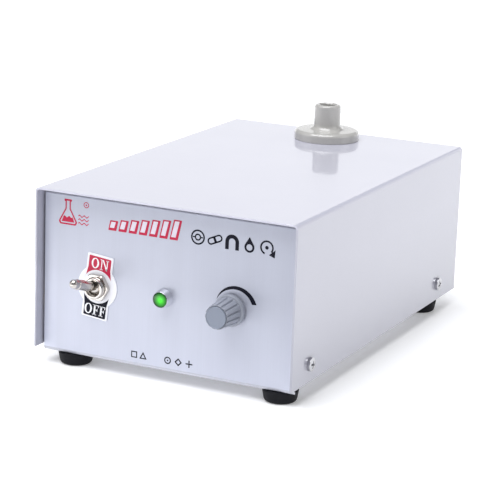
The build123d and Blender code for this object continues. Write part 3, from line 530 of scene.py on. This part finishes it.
def make_materials():
    """One material for each slot of the record."""
    around_y = (0.04, 1.0, 0.04)
    around_z = (0.04, 0.04, 1.0)
    return {
        "cover_paint": enamel("cover_enamel", linear((182, 182, 195)), 0.34),
        "chassis_paint": enamel("chassis_enamel", linear((206, 208, 220)), 0.38),
        "panel_film": silver_film("silver_film", linear((182, 185, 198))),
        "foot_rubber": plain("black_rubber", linear((14, 14, 21)), 0.6, mottle=0.2, size=3.0, grain=0.4,
                             relief=0.03, Specular_IOR_Level=0.2),
        "steel_screw": turned_metal("nickel_screw", (0.52, 0.52, 0.54), 0.12),
        "zinc_steel": plain("zinc_plate", (0.60, 0.61, 0.63), 0.34, metallic=1.0, mottle=0.12, size=4.0,
                            grain=0.5),
        "holder_plastic": plain("beige_moulding", linear((184, 182, 178)), 0.25, mottle=0.025, size=8.0,
                                grain=0.5, relief=0.004, Coat_Weight=0.8, Coat_Roughness=0.06),
        "black_plastic": plain("black_moulding", linear((38, 38, 42)), 0.42, grain=0.25, relief=0.02),
        "switch_body": plain("phenolic", linear((96, 40, 30)), 0.4, mottle=0.15, size=2.0),
        "bright_metal": turned_metal("bright_nickel", (0.56, 0.53, 0.50), 0.16, around_y),
        "tinned_copper": plain("tinned_copper", (0.70, 0.66, 0.60), 0.3, metallic=1.0, mottle=0.1, size=1.5),
        "brass": plain("brass", (0.78, 0.57, 0.26), 0.26, metallic=1.0, mottle=0.08, size=3.0, grain=0.3,
                       relief=0.006),
        "legend_print": plain("legend_enamel", linear((236, 236, 242)), 0.35, mottle=0.02, size=5.0,
                              grain=0.3, relief=0.004),
        "lamp_chrome": turned_metal("lamp_chrome", (0.84, 0.84, 0.87), 0.12, around_y, wear=0.05),
        "lamp_green": lit_lens("lit_green_lens"),
        "knob_grey": plain("knob_grey", linear((148, 152, 163)), 0.42, mottle=0.04, size=3.0, grain=0.2,
                           relief=0.015),
        "cap_grey": plain("cap_grey", linear((132, 139, 154)), 0.34, metallic=0.15, mottle=0.03, size=4.0,
                          grain=0.25, relief=0.006, stretch=(1, 1, 0.15)),
        "aluminium": turned_metal("machined_aluminium", (0.74, 0.74, 0.75), 0.3, around_z),
        "magnet": plain("sintered_magnet", (0.10, 0.10, 0.11), 0.5, metallic=0.6, mottle=0.15, size=1.5,
                        grain=0.3, relief=0.02),
        "laminations": stacked("laminations", (0.24, 0.23, 0.22), 1.0, "Z", rough=0.5, metallic=0.8),
        "winding": stacked("wire_turns", (0.62, 0.30, 0.10), 0.9, "Z", rough=0.35, metallic=0.3),
        "board_green": circuit_board("circuit_board"),
        "component_blue": plain("sleeved_component", linear((28, 44, 92)), 0.3, mottle=0.1, size=2.0,
                                Coat_Weight=0.4),
        "carbon": plain("pressed_carbon", (0.05, 0.05, 0.05), 0.6, mottle=0.2, size=0.8),
        "wire_grey": plain("sheathed_wire", linear((84, 86, 92)), 0.5, mottle=0.08, size=4.0, grain=0.3),
        "fuse_glass": fuse_glass("glass_fuse"),
    }


def printing_ink(name, colour, rough, mottle, **sockets):
    """A flat printed colour."""
    return plain(name, linear(colour), rough, mottle=mottle, size=1.5, grain=0.2, relief=0.004, **sockets)


materials = make_materials()
red_ink = printing_ink("red_ink", (188, 26, 66), 0.4, 0.1, Specular_IOR_Level=0.3)
dark_ink = printing_ink("dark_ink", (13, 14, 30), 0.45, 0.12, Specular_IOR_Level=0.15)
pale_ink = printing_ink("pale_ink", (224, 216, 228), 0.4, 0.03)
white_ink = printing_ink("white_ink", (244, 244, 248), 0.35, 0.02)


# CAD nodes: a material for each, and soft edges for many of those that no piece replaces

# Width of the rounded edge in millimetres, and the nodes that get it
EDGE_WIDTHS = {
    0.1: ["m3_screws", "toggle_rocker"],
    0.12: ["inlet_pins", "control_board", "foot_screws"],
    0.15: ["foot_nuts", "toggle_back_nut"],
    0.18: ["toggle_nut"],
    0.2: ["fuse_cap", "fuse_holder", "transformer_core", "transformer_bracket", "heat_sink",
          "motor_armature", "pot_can"],
    0.25: ["mains_inlet", "motor_plate", "magnet_carrier", "board_components"],
    0.3: ["chassis_tray", "motor_can", "motor_end_bell", "toggle_body", "rod_holder_nut", "drive_magnets"],
    0.5: ["transformer_winding"],
}
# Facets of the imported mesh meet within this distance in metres, and lie in one plane within this angle
weld_gap, flat_angle = 2e-6, math.radians(0.6)
edge_angle = math.radians(30)


def soften_node(name, width):
    """Rounds a CAD node's sharp edges with modifiers, so its own mesh stays as packed."""
    obj = frame["nodes"][name]
    weld = obj.modifiers.new("weld", "WELD")
    weld.merge_threshold = weld_gap
    flat = obj.modifiers.new("flat faces", "DECIMATE")
    flat.decimate_type = "DISSOLVE"
    flat.angle_limit = flat_angle
    bevel = obj.modifiers.new("soft edges", "BEVEL")
    bevel.width = width * MM
    bevel.segments = 2
    bevel.limit_method = "ANGLE"
    bevel.angle_limit = edge_angle
    weights = obj.modifiers.new("even shading", "WEIGHTED_NORMAL")
    weights.keep_sharp = False


def dress_nodes():
    """Material and shading of every CAD node."""
    soft = {name: width for width, names in EDGE_WIDTHS.items() for name in names}
    for entry in frame["record"]["subparts"]:
        name = entry["node"]
        obj = frame["nodes"][name]
        obj.data.materials.clear()
        obj.data.materials.append(materials[entry["material_slot"]])
        obj.data.shade_smooth()
        if name in soft:
            soften_node(name, soft[name])
        else:
            obj.data.set_sharp_from_angle(angle=edge_angle)


dress_nodes()


# Case

def make_cover():
    """The folded hood, its cut edges and rims slightly rounded."""
    half, low, high = cover_high.x, cover_low.z, cover_high.z
    outer = rounded([(-half, low), (-half, high), (half, high), (half, low)], [0, bend, bend, 0], steps=10)
    inside = half - sheet
    inner = rounded([(-inside, low), (-inside, high - sheet), (inside, high - sheet), (inside, low)],
                    [0, bend - sheet, bend - sheet, 0], steps=10)
    hood = prism(outer + inner[::-1], cover_low.y, cover_high.y)
    return softened(hood, width=0.32, angle=50, segments=3)


add("cover_shell", make_cover(), "cover_paint", ["top_cover"])


def make_film():
    """The printed film over the front panel, with a hole for each of the three controls."""
    corner_radius, edge_radius = 0.8, 0.09
    hole_radii = [(toggle, 6.2), (lamp, 4.2), (knob, 4.6)]
    rim = rounded(block(film_low.x, film_high.x, film_low.z, film_high.z), [corner_radius] * 4)
    holes = [circle(radius, (control.x, control.z)) for control, radius in hole_radii]
    thickness = film_high.y - film_low.y
    return moved(plate([rim] + holes, -thickness, 0.0, edge_radius), facing_front(0, 0))


add("panel_film", make_film(), "panel_film", ["front_label"])


# Printing: outlines in the panel's own X and Z, a thin layer of ink on the film

def ink(name, shapes, material, height=0.025):
    """Prints shapes, each a list of loops, on the film. The ink starts inside the film, so no gap shows."""
    sunk = 0.02
    parts = [plate(loops, -sunk, height) for loops in shapes]
    add(name, moved(joined(*parts), facing_front(0, 0)), "panel_film", sharp=30, material=material)


def shifted(loop, x, z, turn=0.0, size=1.0):
    """A loop made larger, turned by degrees and moved."""
    along, across = math.cos(math.radians(turn)) * size, math.sin(math.radians(turn)) * size
    return [(x + along * a - across * b, z + across * a + along * b) for a, b in loop]


def flask_mark(x, z):
    """An outlined flask with its liquid, and beside it a ring with a dot over three ripples."""
    flask_x, ring_middle, ripple_z = x - 4.0, (x + 7.6, z + 5.4), z - 1.4
    outer = [(-2.4, 7.4), (2.4, 7.4), (2.4, 6.3), (1.7, 6.0), (1.7, 2.0), (5.9, -5.4),
             (5.1, -7.2), (-5.1, -7.2), (-5.9, -5.4), (-1.7, 2.0), (-1.7, 6.0), (-2.4, 6.3)]
    inner = [(-0.9, 6.4), (0.9, 6.4), (0.9, 1.8), (4.8, -5.2), (4.5, -6.3), (-4.5, -6.3), (-4.8, -5.2),
             (-0.9, 1.8)]
    radii = [0.4, 0.4, 0.4, 0.3, 2.0, 1.0, 1.2, 1.2, 1.0, 2.0, 0.3, 0.4]
    outer = rounded(outer, radii, steps=4)
    inner = rounded(inner, [0.2, 0.2, 1.6, 0.5, 0.5, 0.5, 0.5, 1.6], steps=4)
    surface = [(-2.9 + 0.29 * step, -2.6 + 0.45 * math.sin(step * 0.63)) for step in range(21)]
    liquid = [(-4.1, -5.6)] + surface + [(4.1, -5.6)]
    shapes = [
        [shifted(outer, flask_x, z), shifted(inner, flask_x, z)],
        [shifted(liquid, flask_x, z)],
        [circle(1.7, ring_middle), circle(1.25, ring_middle)],
        [circle(0.5, ring_middle, 16)],
    ]
    row_pitch, thickness = 2.1, 0.65
    for row in range(3):
        middle = 0.4 - row_pitch * row
        top = [(2.6 + 0.35 * step, middle + 0.5 * math.sin(step * 0.72)) for step in range(20)]
        ripple = top + [(a, b - thickness) for a, b in reversed(top)]
        shapes.append([shifted(ripple, x, ripple_z)])
    return shapes


def ramp_marks(left, right, bottom, top, count=7):
    """Slanted outlined bars that grow from left to right: their outlines, and what fills them."""
    slant, gap, first_share = 0.22, 1.3, 0.5
    pitch = (right - left - 2.0) / count
    wide = pitch - gap
    outlines, fills = [], []
    for number in range(count):
        x = left + number * pitch
        tall = (top - bottom) * (first_share + (1 - first_share) * number / (count - 1))
        lean = slant * tall
        peak = bottom + tall
        outer = [(x, bottom), (x + wide, bottom), (x + wide + lean, peak), (x + lean, peak)]
        inner = [(x + 0.95, bottom + 1.5), (x + wide - 1.35, bottom + 1.5),
                 (x + wide + lean - 1.6, peak - 0.8), (x + lean + 0.7, peak - 0.8)]
        outlines.append([rounded(outer, [0.3] * 4, steps=3), inner])
        fills.append([inner])
    return outlines, fills


def stroke(points, width):
    """A bar of even width between two points."""
    start, end = Vector(points[0]), Vector(points[1])
    ahead = (end - start).normalized() * width / 2
    aside = Vector((-ahead.y, ahead.x))
    return [start + aside, start - aside, end - aside, end + aside]


def pictograms(left, right, bottom, top):
    """Five signs in a row: a vessel from above, a stirring bar, a magnet, a drop and a turning arrow."""
    count, drawn_height = 5, 8.4
    pitch = (right - left) / count
    size = (top - bottom) / drawn_height
    z = (bottom + top) / 2
    centres = [left + pitch * (number + 0.5) for number in range(count)]
    shapes = []

    def place(number, loops, turn=0.0):
        shapes.append([shifted(loop, centres[number], z, turn, size) for loop in loops])

    place(0, [circle(4.1), circle(3.2)])
    place(0, [circle(1.9), circle(1.1)])
    place(0, [stroke(((3.0, 0), (1.8, 0)), 0.7)])
    place(0, [stroke(((-3.0, 0), (-1.8, 0)), 0.7)])
    bar = arc(2.0, 90, 270, 16, (-2.6, 0)) + arc(2.0, -90, 90, 16, (2.6, 0))
    hole = arc(1.15, 90, 270, 16, (-2.6, 0)) + arc(1.15, -90, 90, 16, (2.6, 0))
    place(1, [bar, hole], 24)
    place(1, [block(-0.7, 0.7, -1.7, 1.7)], 24)
    shoe = arc(4.0, 0, 180, 20, (0, 0.2)) + [(-4.0, -4.0), (-1.9, -4.0)] + arc(1.9, 180, 0, 16, (0, 0.2))
    place(2, [shoe + [(1.9, -4.0), (4.0, -4.0)]])
    drop = arc(2.9, -218, 38, 26, (0, -1.2)) + [(0, 4.3)]
    place(3, [drop, circle(1.7, (0, -1.3))])
    sweep = arc(3.9, -40, 250, 30) + arc(2.95, 250, -40, 30)
    place(4, [sweep])
    place(4, [[(1.0, -3.9), (4.9, -1.0), (4.3, -5.4)]], 4)
    place(4, [circle(1.0)])
    return shapes


def foot_marks():
    """A square, a triangle, a ring with a dot, a diamond and a cross along the lower edge."""
    z, size = film_low.z + 4.6, 2.1
    square_x, triangle_x, ring_x, diamond_x, cross_x = -19.4, -13.8, 1.6, 8.2, 14.9
    square = block(-1, 1, -1, 1)
    diamond = [(-1, 0), (0, -1), (1, 0), (0, 1)]
    triangle, opening = [(-1.1, -0.9), (1.1, -0.9), (0, 1.1)], [(-0.55, -0.6), (0.55, -0.6), (0, 0.45)]
    arms = [((-1, 0), (1, 0)), ((0, -1), (0, -0.2)), ((0, 0.2), (0, 1))]
    shapes = [
        [shifted(square, square_x, z, size=size * 0.9), shifted(square, square_x, z, size=size * 0.6)],
        [shifted(triangle, triangle_x, z, size=size), shifted(opening, triangle_x, z, size=size)],
        [circle(size, (ring_x, z)), circle(size * 0.66, (ring_x, z))],
        [shifted(diamond, diamond_x, z, size=size * 1.1), shifted(diamond, diamond_x, z, size=size * 0.6)],
    ]
    shapes += [[shifted(stroke(arm, 0.35), cross_x, z, size=size)] for arm in arms]
    shapes.append([circle(0.5, (ring_x, z), 16)])
    return shapes


def speed_arc():
    """The black wedge round the knob that swells clockwise, printed a little up and right of it."""
    aside, above, steps = 2.1, 0.8, 40
    first, outer_last, inner_last = 161, 17.2, 20.4
    outer_radius, outer_growth, inner_radius, inner_growth = 11.8, 1.6, 11.7, 1.0
    swelling_share, swelling_power = 0.43, 0.7
    outer, inner = [], []
    for step in range(steps + 1):
        share = step / steps
        swell = min(1.0, share / swelling_share) ** swelling_power
        outer.append((outer_radius + outer_growth * share, first - (first - outer_last) * share))
        inner.append((inner_radius - inner_growth * swell, first - (first - inner_last) * share))
    loop = []
    for radius, degrees in outer + inner[::-1]:
        angle = math.radians(degrees)
        loop.append((knob.x + aside + radius * math.cos(angle), knob.z + above + radius * math.sin(angle)))
    return [[loop]]


def print_panel():
    """All the printing. The upper row hangs from a line a little under the cover's top."""
    top = cover_high.z - 2.3
    ink("print_flask", flask_mark(x=-59.0, z=top - 11.0), red_ink)
    bars, fills = ramp_marks(left=-37.3, right=9.2, bottom=top - 17.6, top=top - 6.2)
    ink("print_ramp", bars, red_ink)
    ink("print_ramp_fill", fills, pale_ink, height=0.015)
    signs = pictograms(left=13.0, right=64.4, bottom=top - 18.2, top=top - 9.6)
    ink("print_signs", signs, dark_ink)
    ink("print_foot_signs", foot_marks(), dark_ink)
    ink("print_speed_arc", speed_arc(), dark_ink)


print_panel()


# Toggle switch

toggle_place = facing_front(toggle.x, toggle.z)


def legend_outline(half, reach, radius):
    """A disc with a field above and one below, their outer corners rounded."""
    corner_radii = [0, 0.9, 0.9, 0]
    rise = math.degrees(math.acos(half / radius))
    right = arc(radius, -rise, rise, 20)
    left = arc(radius, 180 - rise, 180 + rise, 20)
    top = rounded([right[-1], (half, reach), (-half, reach), left[0]], corner_radii)
    bottom = rounded([left[-1], (-half, -reach), (half, -reach), right[0]], corner_radii)
    return right[:-1] + top[:-1] + left[:-1] + bottom[:-1]


def legend_field(half, near, far, horn, gap):
    """One coloured field, hollowed round the nut, with a horn at each lower corner."""
    reach = math.degrees(math.asin(horn / gap))
    hollow = arc(gap, 90 - reach, 90 + reach, 20)
    return rounded([(half, far), (half, near)] + hollow + [(-half, near), (-half, far)],
                   [0.5, 0.6] + [0] * 21 + [0.6, 0.5], steps=4)


# Letters 6 mm tall, each a list of shapes, placed by their middle

def letter_o(x, y):
    return [[ellipse(2.35, 3.0, (x, y)), ellipse(1.3, 2.5, (x, y))]]


def letter_bars(x, y, strokes):
    return [[shifted(loop, x, y)] for loop in strokes]


def letter_n(x, y):
    return letter_bars(x, y, [
        block(-2.0, -1.45, -3.0, 3.0),
        [(-2.7, 3.0), (-2.7, 2.6), (-1.3, 2.6), (1.45, -3.0), (2.1, -3.0), (2.1, -2.4), (-0.7, 3.0)],
        block(1.5, 2.05, -2.9, 3.0),
        block(0.9, 2.7, 2.6, 3.0),
        block(-2.7, -0.8, -3.0, -2.6),
    ])


def letter_f(x, y):
    return letter_bars(x, y, [
        block(-1.2, -0.1, -3.0, 3.0),
        [(-1.9, 3.0), (-1.9, 2.6), (1.4, 2.55), (1.45, 1.5), (1.85, 1.5), (1.95, 3.0)],
        [(-0.2, 0.25), (-0.2, -0.25), (0.8, -0.25), (0.9, -0.9), (1.2, -0.9), (1.2, 0.9), (0.9, 0.9),
         (0.8, 0.25)],
        block(-1.9, 0.7, -3.0, -2.6),
    ])


def make_legend():
    """White plate with a red field over a black one, turned a little on its switch."""
    low, high = mm_box("toggle_legend_plate")
    thick, layer = high.y - low.y, 0.02
    place = toggle_place @ spin(-6, "Z")
    base = plate([legend_outline(half=8.2, reach=18.5, radius=12.4), circle(6.2)], 0.0, thick, 0.1)
    add("legend_plate", moved(base, place), "legend_print", ["toggle_legend_plate"])
    half, near, horn, gap = 7.0, 10.6, 8.0, 9.6
    for name, far, turn, colour in (("legend_red", 17.2, 0, red_ink), ("legend_black", 17.6, 180, dark_ink)):
        field = plate([legend_field(half, near, far, horn, gap)], thick - layer, thick + layer)
        add(name, moved(field, place @ spin(turn, "Z")), "legend_print", material=colour)
    upper, lower = 13.2, -13.6
    letters = letter_o(-2.9, upper) + letter_n(2.9, upper)
    letters += letter_o(-4.2, lower) + letter_f(0.5, lower) + letter_f(4.6, lower)
    shapes = joined(*[plate(loops, thick, thick + 2 * layer) for loops in letters])
    add("legend_letters", moved(shapes, place), "legend_print", sharp=30, material=white_ink)


make_legend()


def make_bushing():
    """Threaded bushing with a rounded bright rim, a cone mouth and its frame plate."""
    low, high = mm_box("toggle_bushing")
    rim, back = panel_y - low.y, panel_y - high.y
    bore, root, crest, pitch = 4.6, 5.62, 6.0, 0.75
    half_wide, half_tall, plate_hole = 8.5, 15.5, 5.9
    profile = [(bore, back), (crest, back)]
    profile += thread(back + 1.2, rim - 0.9 - pitch, pitch, root, crest, peaks=(0.42, 0.58))
    profile += [(root, rim - 1.0)]
    profile += rounded([(root, rim - 1.0), (crest, rim - 0.8), (crest, rim), (4.7, rim), (4.15, rim - 1.3)],
                       [0, 0.15, 0.7, 0.25, 0], steps=8)[1:]
    profile += [(4.0, rim - 1.6), (4.0, rim - 2.5), (bore, rim - 2.5)]
    border = block(-half_wide, half_wide, -half_tall, half_tall)
    frame_plate = plate([border, circle(plate_hole)], back, back + 1, 0.1)
    return moved(joined(turned(profile, 96, closed=True), frame_plate), toggle_place)


add("toggle_threaded_bushing", make_bushing(), "bright_metal", ["toggle_bushing"], sharp=32)


def make_lever():
    """Lever with a shouldered, domed tip, its ball and its tail, built upright and then laid forward."""
    joint = next(j for j in frame["joints"] if j["name"] == "toggle_lever_tilt")
    pivot = [place / MM for place in joint["pos_m"]]
    raised = -joint["range_deg"][1] / 2
    ball_radius = 4.2
    profile = [(0, -15.1), (0.9, -14.9), (1.45, -14.2), (1.6, -13.5)]
    profile += arc(ball_radius, -68, 57, 24)
    shank = [(2.3, 4.9), (2.75, 8.0), (2.9, 11.0), (2.9, 22.4), (2.55, 22.9), (2.5, 24.6), (2.5, 28.0),
             (0, 28.0)]
    profile += rounded(shank, [0, 2.0, 4.0, 0.25, 0.15, 0.3, 2.35, 0], steps=8)
    return moved(turned(profile, 72), Matrix.Translation(pivot) @ spin(90, "X") @ spin(raised, "X"))


add("toggle_bat", make_lever(), "bright_metal", ["toggle_lever"], body="toggle_lever", sharp=50)


# Indicator lamp

def make_lamp():
    """Bright tapered bezel, threaded behind the panel, round a lens with a shallow dome."""
    place = facing_front(lamp.x, lamp.z)
    bore, root, crest, pitch = 2.9, 3.7, 3.95, 0.6
    profile = [(bore, -12.0), (3.85, -12.0)]
    profile += thread(-11.6, -2.0, pitch, root, crest, peaks=(0.5,))
    profile += rounded([(crest, -0.4), (crest, 0.0), (5.35, 0.0), (5.3, 1.3), (4.42, 5.5), (4.05, 5.5),
                        (3.98, 4.4)], [0, 0, 0.1, 0.5, 0.2, 0.1, 0], steps=6)
    profile += [(4.02, 2.0), (bore, 2.0)]
    bezel = moved(turned(profile, 96, closed=True), place)
    add("lamp_bright_bezel", bezel, "lamp_chrome", ["lamp_bezel"])
    lens_radius, lens_edge, dome_height = 4.36, 5.52, 0.48
    profile = [(0, -8.0), (2.5, -8.0), (2.75, -7.7), (2.75, 2.1), (3.92, 2.1), (3.92, 5.5)]
    profile += [(lens_radius, lens_edge)]
    for degrees in range(15, 90, 15):
        angle = math.radians(degrees)
        profile.append((lens_radius * math.cos(angle), lens_edge + dome_height * math.sin(angle)))
    profile += [(0, lens_edge + dome_height)]
    lens = moved(turned(profile, 72), place)
    add("lamp_domed_lens", lens, "lamp_green", ["lamp_lens"], sharp=60)


make_lamp()


# Speed knob

def make_knob():
    """Ribbed barrel on a rounded skirt, hollow behind, and its flat cap."""
    place = facing_front(knob.x, knob.z)
    low, high = mm_box("knob_body")
    back, front = panel_y - high.y, panel_y - low.y
    skirt_radius, skirt_height, bore, seat, seat_depth = 9.0, 2.9, 4.65, 6.28, 1.6
    skirt = rounded([(7.3, back), (skirt_radius, back), (skirt_radius, back + skirt_height),
                     (7.8, back + 3.0), (7.3, back + 2.4)],
                    [0.3, 0.4, 1.1, 0.3, 0.2], steps=6)
    ribs, groove_depth, groove_half, crown_height = 14, 0.75, 0.62, 0.10
    outline = [(bore, 3.65), (7.2, 3.65), (7.85, 3.9), (7.82, 4.4), (7.78, 5.0), (7.65, 7.5), (7.35, 11.5),
               (7.02, 15.0), (6.84, 17.0), (6.78, front - 0.4), (6.7, front - 0.12), (6.5, front),
               (seat, front), (seat, front - seat_depth), (bore, front - seat_depth)]
    groove_share = [0, 0, 0, 0.2, 0.8, 1, 1, 1, 1, 1, 0.9, 0.3, 0, 0, 0]

    def groove(angle, index):
        """How far the barrel's surface moves in at a groove, or out on a rib's crown."""
        turn = (angle * ribs / (2 * math.pi)) % 1.0 - 0.5
        across = abs(turn) * 2 * math.pi * outline[index][0] / ribs
        shape = max(0.0, 1 - (across / groove_half) ** 2)
        crown = crown_height * (abs(turn) * 2 - 0.5)
        return -groove_share[index] * (groove_depth * shape - crown)

    barrel = turned(outline, ribs * 24, closed=True, wave=groove)
    shell = moved(joined(turned(skirt, 96, closed=True), barrel), place)
    add("knob_ribbed_body", shell, "knob_grey", ["knob_body"], body="speed_knob", sharp=50)
    top = panel_y - mm_box("knob_cap")[0].y
    cap_radius, cap_height = 6.02, 3.0
    profile = rounded([(0, top - cap_height), (cap_radius, top - cap_height), (cap_radius, top),
                       (5.6, top - 0.02), (5.35, top - 0.22), (0, top - 0.24)],
                      [0, 0.2, 0.3, 0.1, 0.2, 0], steps=5)
    cap = moved(turned(profile, 96), place)
    add("knob_flat_cap", cap, "cap_grey", ["knob_cap"], body="speed_knob", sharp=50)


make_knob()


# Rod holder, feet and cover screws

def make_rod_holder():
    """Round moulding: flange, boss with a soft lip, blind bore and a spigot through the cover."""
    low, high = mm_box("rod_holder")
    bottom, top, base = low.z, high.z, cover_high.z
    spigot_radius, bore_radius, bore_depth, sunk = 8.0, 5.1, 28.0, 0.2
    outline = [(0, bottom), (spigot_radius, bottom), (spigot_radius, base - sunk), (20.15, base - sunk),
               (20.45, base + 0.5), (20.3, base + 6.0), (8.45, base + 6.6), (8.2, top), (5.8, top),
               (bore_radius, top - 0.8), (bore_radius, top - bore_depth), (0, top - bore_depth)]
    radii = [0, 0.5, 0, 0, 0.5, 2.4, 3.2, 1.7, 0.5, 0.3, 0, 0]
    part = turned(rounded(outline, radii, steps=10), 128)
    return moved(part, Matrix.Translation((holder.x, holder.y, 0)))


add("support_rod_holder", make_rod_holder(), "holder_plastic", ["rod_holder"], sharp=50)


def solid_centres(node):
    """Middle of each separate solid of a CAD node, in millimetres."""
    work = bmesh.new()
    work.from_mesh(frame["nodes"][node].data)
    bmesh.ops.remove_doubles(work, verts=work.verts, dist=weld_gap)
    seen, centres = set(), []
    for start in work.verts:
        if start in seen:
            continue
        island = [start]
        seen.add(start)
        for vert in island:
            for edge in vert.link_edges:
                other = edge.other_vert(vert)
                if other not in seen:
                    seen.add(other)
                    island.append(other)
        low = Vector([min(vert.co[axis] for vert in island) for axis in range(3)])
        high = Vector([max(vert.co[axis] for vert in island) for axis in range(3)])
        centres.append((low + high) / 2 / MM)
    work.free()
    return centres


def make_feet():
    """Tapered rubber feet, rounded below, with a sunk screw hole and a groove round the sole."""
    top_radius, sole_radius, hole, head_hole, head_depth, groove_depth = 10.2, 8.95, 2.25, 4.6, 4.5, 0.35
    outline = [(hole, foot_top), (top_radius, foot_top), (sole_radius, 0.0),
               (7.2, 0.0), (7.0, groove_depth), (6.5, groove_depth), (6.3, 0.0),
               (head_hole, 0.0), (head_hole, head_depth), (hole, head_depth)]
    radii = [0, 0.5, 2.3, 0.1, 0.1, 0.1, 0.1, 0.4, 0.2, 0]
    foot = turned(rounded(outline, radii, steps=8), 72, closed=True)
    centres = solid_centres("rubber_feet")
    return joined(*[moved(foot, Matrix.Translation((centre.x, centre.y, 0))) for centre in centres])


add("rubber_foot_set", make_feet(), "foot_rubber", ["rubber_feet"], sharp=60)


def cross_head(radius, height, shank_radius, length):
    """A pan-head screw with a tapered cross recess, its head above z = 0."""
    steps, rings = 96, 26
    dome_height, arm_half, arm_taper, arm_wall = 0.55, 0.5, 0.12, 0.14
    arm_reach, arm_end, depth, rise = 0.58 * radius, 0.3, 1.5, 0.4

    def level(x, y):
        """Height of the head's face at a point."""
        dome = height - dome_height * (math.hypot(x, y) / radius) ** 2
        near, far = min(abs(x), abs(y)), max(abs(x), abs(y))
        half = arm_half + arm_taper * (1 - far / (radius * 0.6))
        across, along = (half - near) / arm_wall, (arm_reach - far) / arm_end
        inside = max(0.0, min(1.0, across)) * max(0.0, min(1.0, along))
        return dome - inside * (depth - rise * far / radius)

    flat, faces = turned([(radius * ring / rings, 0.0) for ring in range(rings + 1)], steps)
    verts = [(x, y, level(x, y)) for x, y, _ in flat]
    crown, brim = height - dome_height, radius + 0.02
    side = rounded([(radius, crown), (brim, crown - 0.1), (brim, 0.0), (shank_radius, 0.0),
                    (shank_radius, -length), (0, -length)], [0, 0.3, 0.15, 0, 0.3, 0], steps=4)
    return joined((verts, faces), turned(side, steps))


def make_cover_screws():
    """Pan-head screws through both side walls, each left at an angle of its own."""
    high = mm_box("cover_screws")[1].x
    screw = cross_head(3.86, high - cover_high.x, shank_radius=2.0, length=7.9)
    first_turn, next_turn = 17, 31
    placed = []
    for number, centre in enumerate(solid_centres("cover_screws")):
        side = 1 if centre.x > 0 else -1
        place = Matrix.Translation((side * cover_high.x, centre.y, centre.z))
        turn = spin(90 * side, "Y") @ spin(first_turn + next_turn * number, "Z")
        placed.append(moved(screw, place @ turn))
    return joined(*placed)


add("cover_pan_screws", make_cover_screws(), "steel_screw", ["cover_screws"], sharp=55)


# Stage: pale floor, soft light and the camera

def make_floor():
    """A wide pale floor that glows a little, so that shadows on it stay faint."""
    paint = Paint("pale_floor", Specular_IOR_Level=0.2)
    slow = paint.noise(400.0)
    paint.coloured(paint.blend(slow, (0.90, 0.90, 0.905), (0.92, 0.92, 0.925)))
    paint.rough(paint.spread(slow, 0.55, 0.65))
    paint.shader.inputs["Emission Color"].default_value = (1.0, 1.0, 1.0, 1.0)
    paint.shader.inputs["Emission Strength"].default_value = 0.22
    mesh = bpy.data.meshes.new("floor")
    half = 8.0
    corners = [(-half, -half, 0), (half, -half, 0), (half, half, 0), (-half, half, 0)]
    mesh.from_pydata(corners, [], [(0, 1, 2, 3)])
    mesh.materials.append(paint.material)
    put("floor", mesh)


def area_light(name, where, aim, size, power):
    """A white panel in metres and watts, turned towards a point."""
    light = bpy.data.lights.new(name, "AREA")
    light.shape = "RECTANGLE"
    light.size, light.size_y = size
    light.energy = power
    obj = put(name, light)
    obj.location = where
    obj.rotation_euler = (Vector(aim) - Vector(where)).to_track_quat("-Z", "Y").to_euler()


def make_light():
    """A pale sky, a broad light from above and a little in front, and four panels."""
    world = bpy.data.worlds.new("studio")
    world.use_nodes = True
    back = world.node_tree.nodes["Background"]
    back.inputs["Color"].default_value = (0.93, 0.95, 1.0, 1.0)
    back.inputs["Strength"].default_value = 0.24
    bpy.context.scene.world = world
    sun = bpy.data.lights.new("sky_panel", "SUN")
    sun.energy = 3.05
    sun.angle = math.radians(55)
    sun.color = (0.97, 0.98, 1.0)
    obj = put("sky_panel", sun)
    obj.rotation_euler = Vector((0.1, 0.3, -1.0)).to_track_quat("-Z", "Y").to_euler()
    part_middle = (0, 0, 0.05)
    area_light("back_panel", (-0.4, 1.7, 0.36), (-0.4, 0, 0.36), size=(4.4, 0.66), power=7.2)
    area_light("low_panel", (-0.13, -0.24, 0.014), (-0.06, -0.115, 0.02), size=(0.16, 0.02), power=0.03)
    area_light("left_panel", (-1.3, -0.9, 0.9), part_middle, size=(1.3, 1.5), power=5.0)
    area_light("right_panel", (1.8, 0.3, 0.9), part_middle, size=(1.2, 1.2), power=6.6)


def make_camera():
    """Above the front right, turned a little about its own axis."""
    azimuth, elevation, roll = math.radians(25.441), math.radians(14.450), math.radians(2.054)
    distance, aim = 1.2065, Vector((-0.00689, 0.00884, 0.05073))
    back = Vector((math.sin(azimuth) * math.cos(elevation), -math.cos(azimuth) * math.cos(elevation),
                   math.sin(elevation)))
    level_right = Vector((0, 0, 1)).cross(back).normalized()
    level_up = back.cross(level_right)
    right = math.cos(roll) * level_right + math.sin(roll) * level_up
    up = -math.sin(roll) * level_right + math.cos(roll) * level_up
    data = bpy.data.cameras.new("camera")
    data.sensor_width, data.lens, data.clip_end = 36.0, 145.8, 50.0
    camera = put("camera", data)
    turn = Matrix((right, up, back)).transposed().to_4x4()
    camera.matrix_world = Matrix.Translation(aim + back * distance) @ turn
    bpy.context.scene.camera = camera


make_floor()
make_light()
make_camera()
bpy.context.scene.view_settings.view_transform = "Standard"
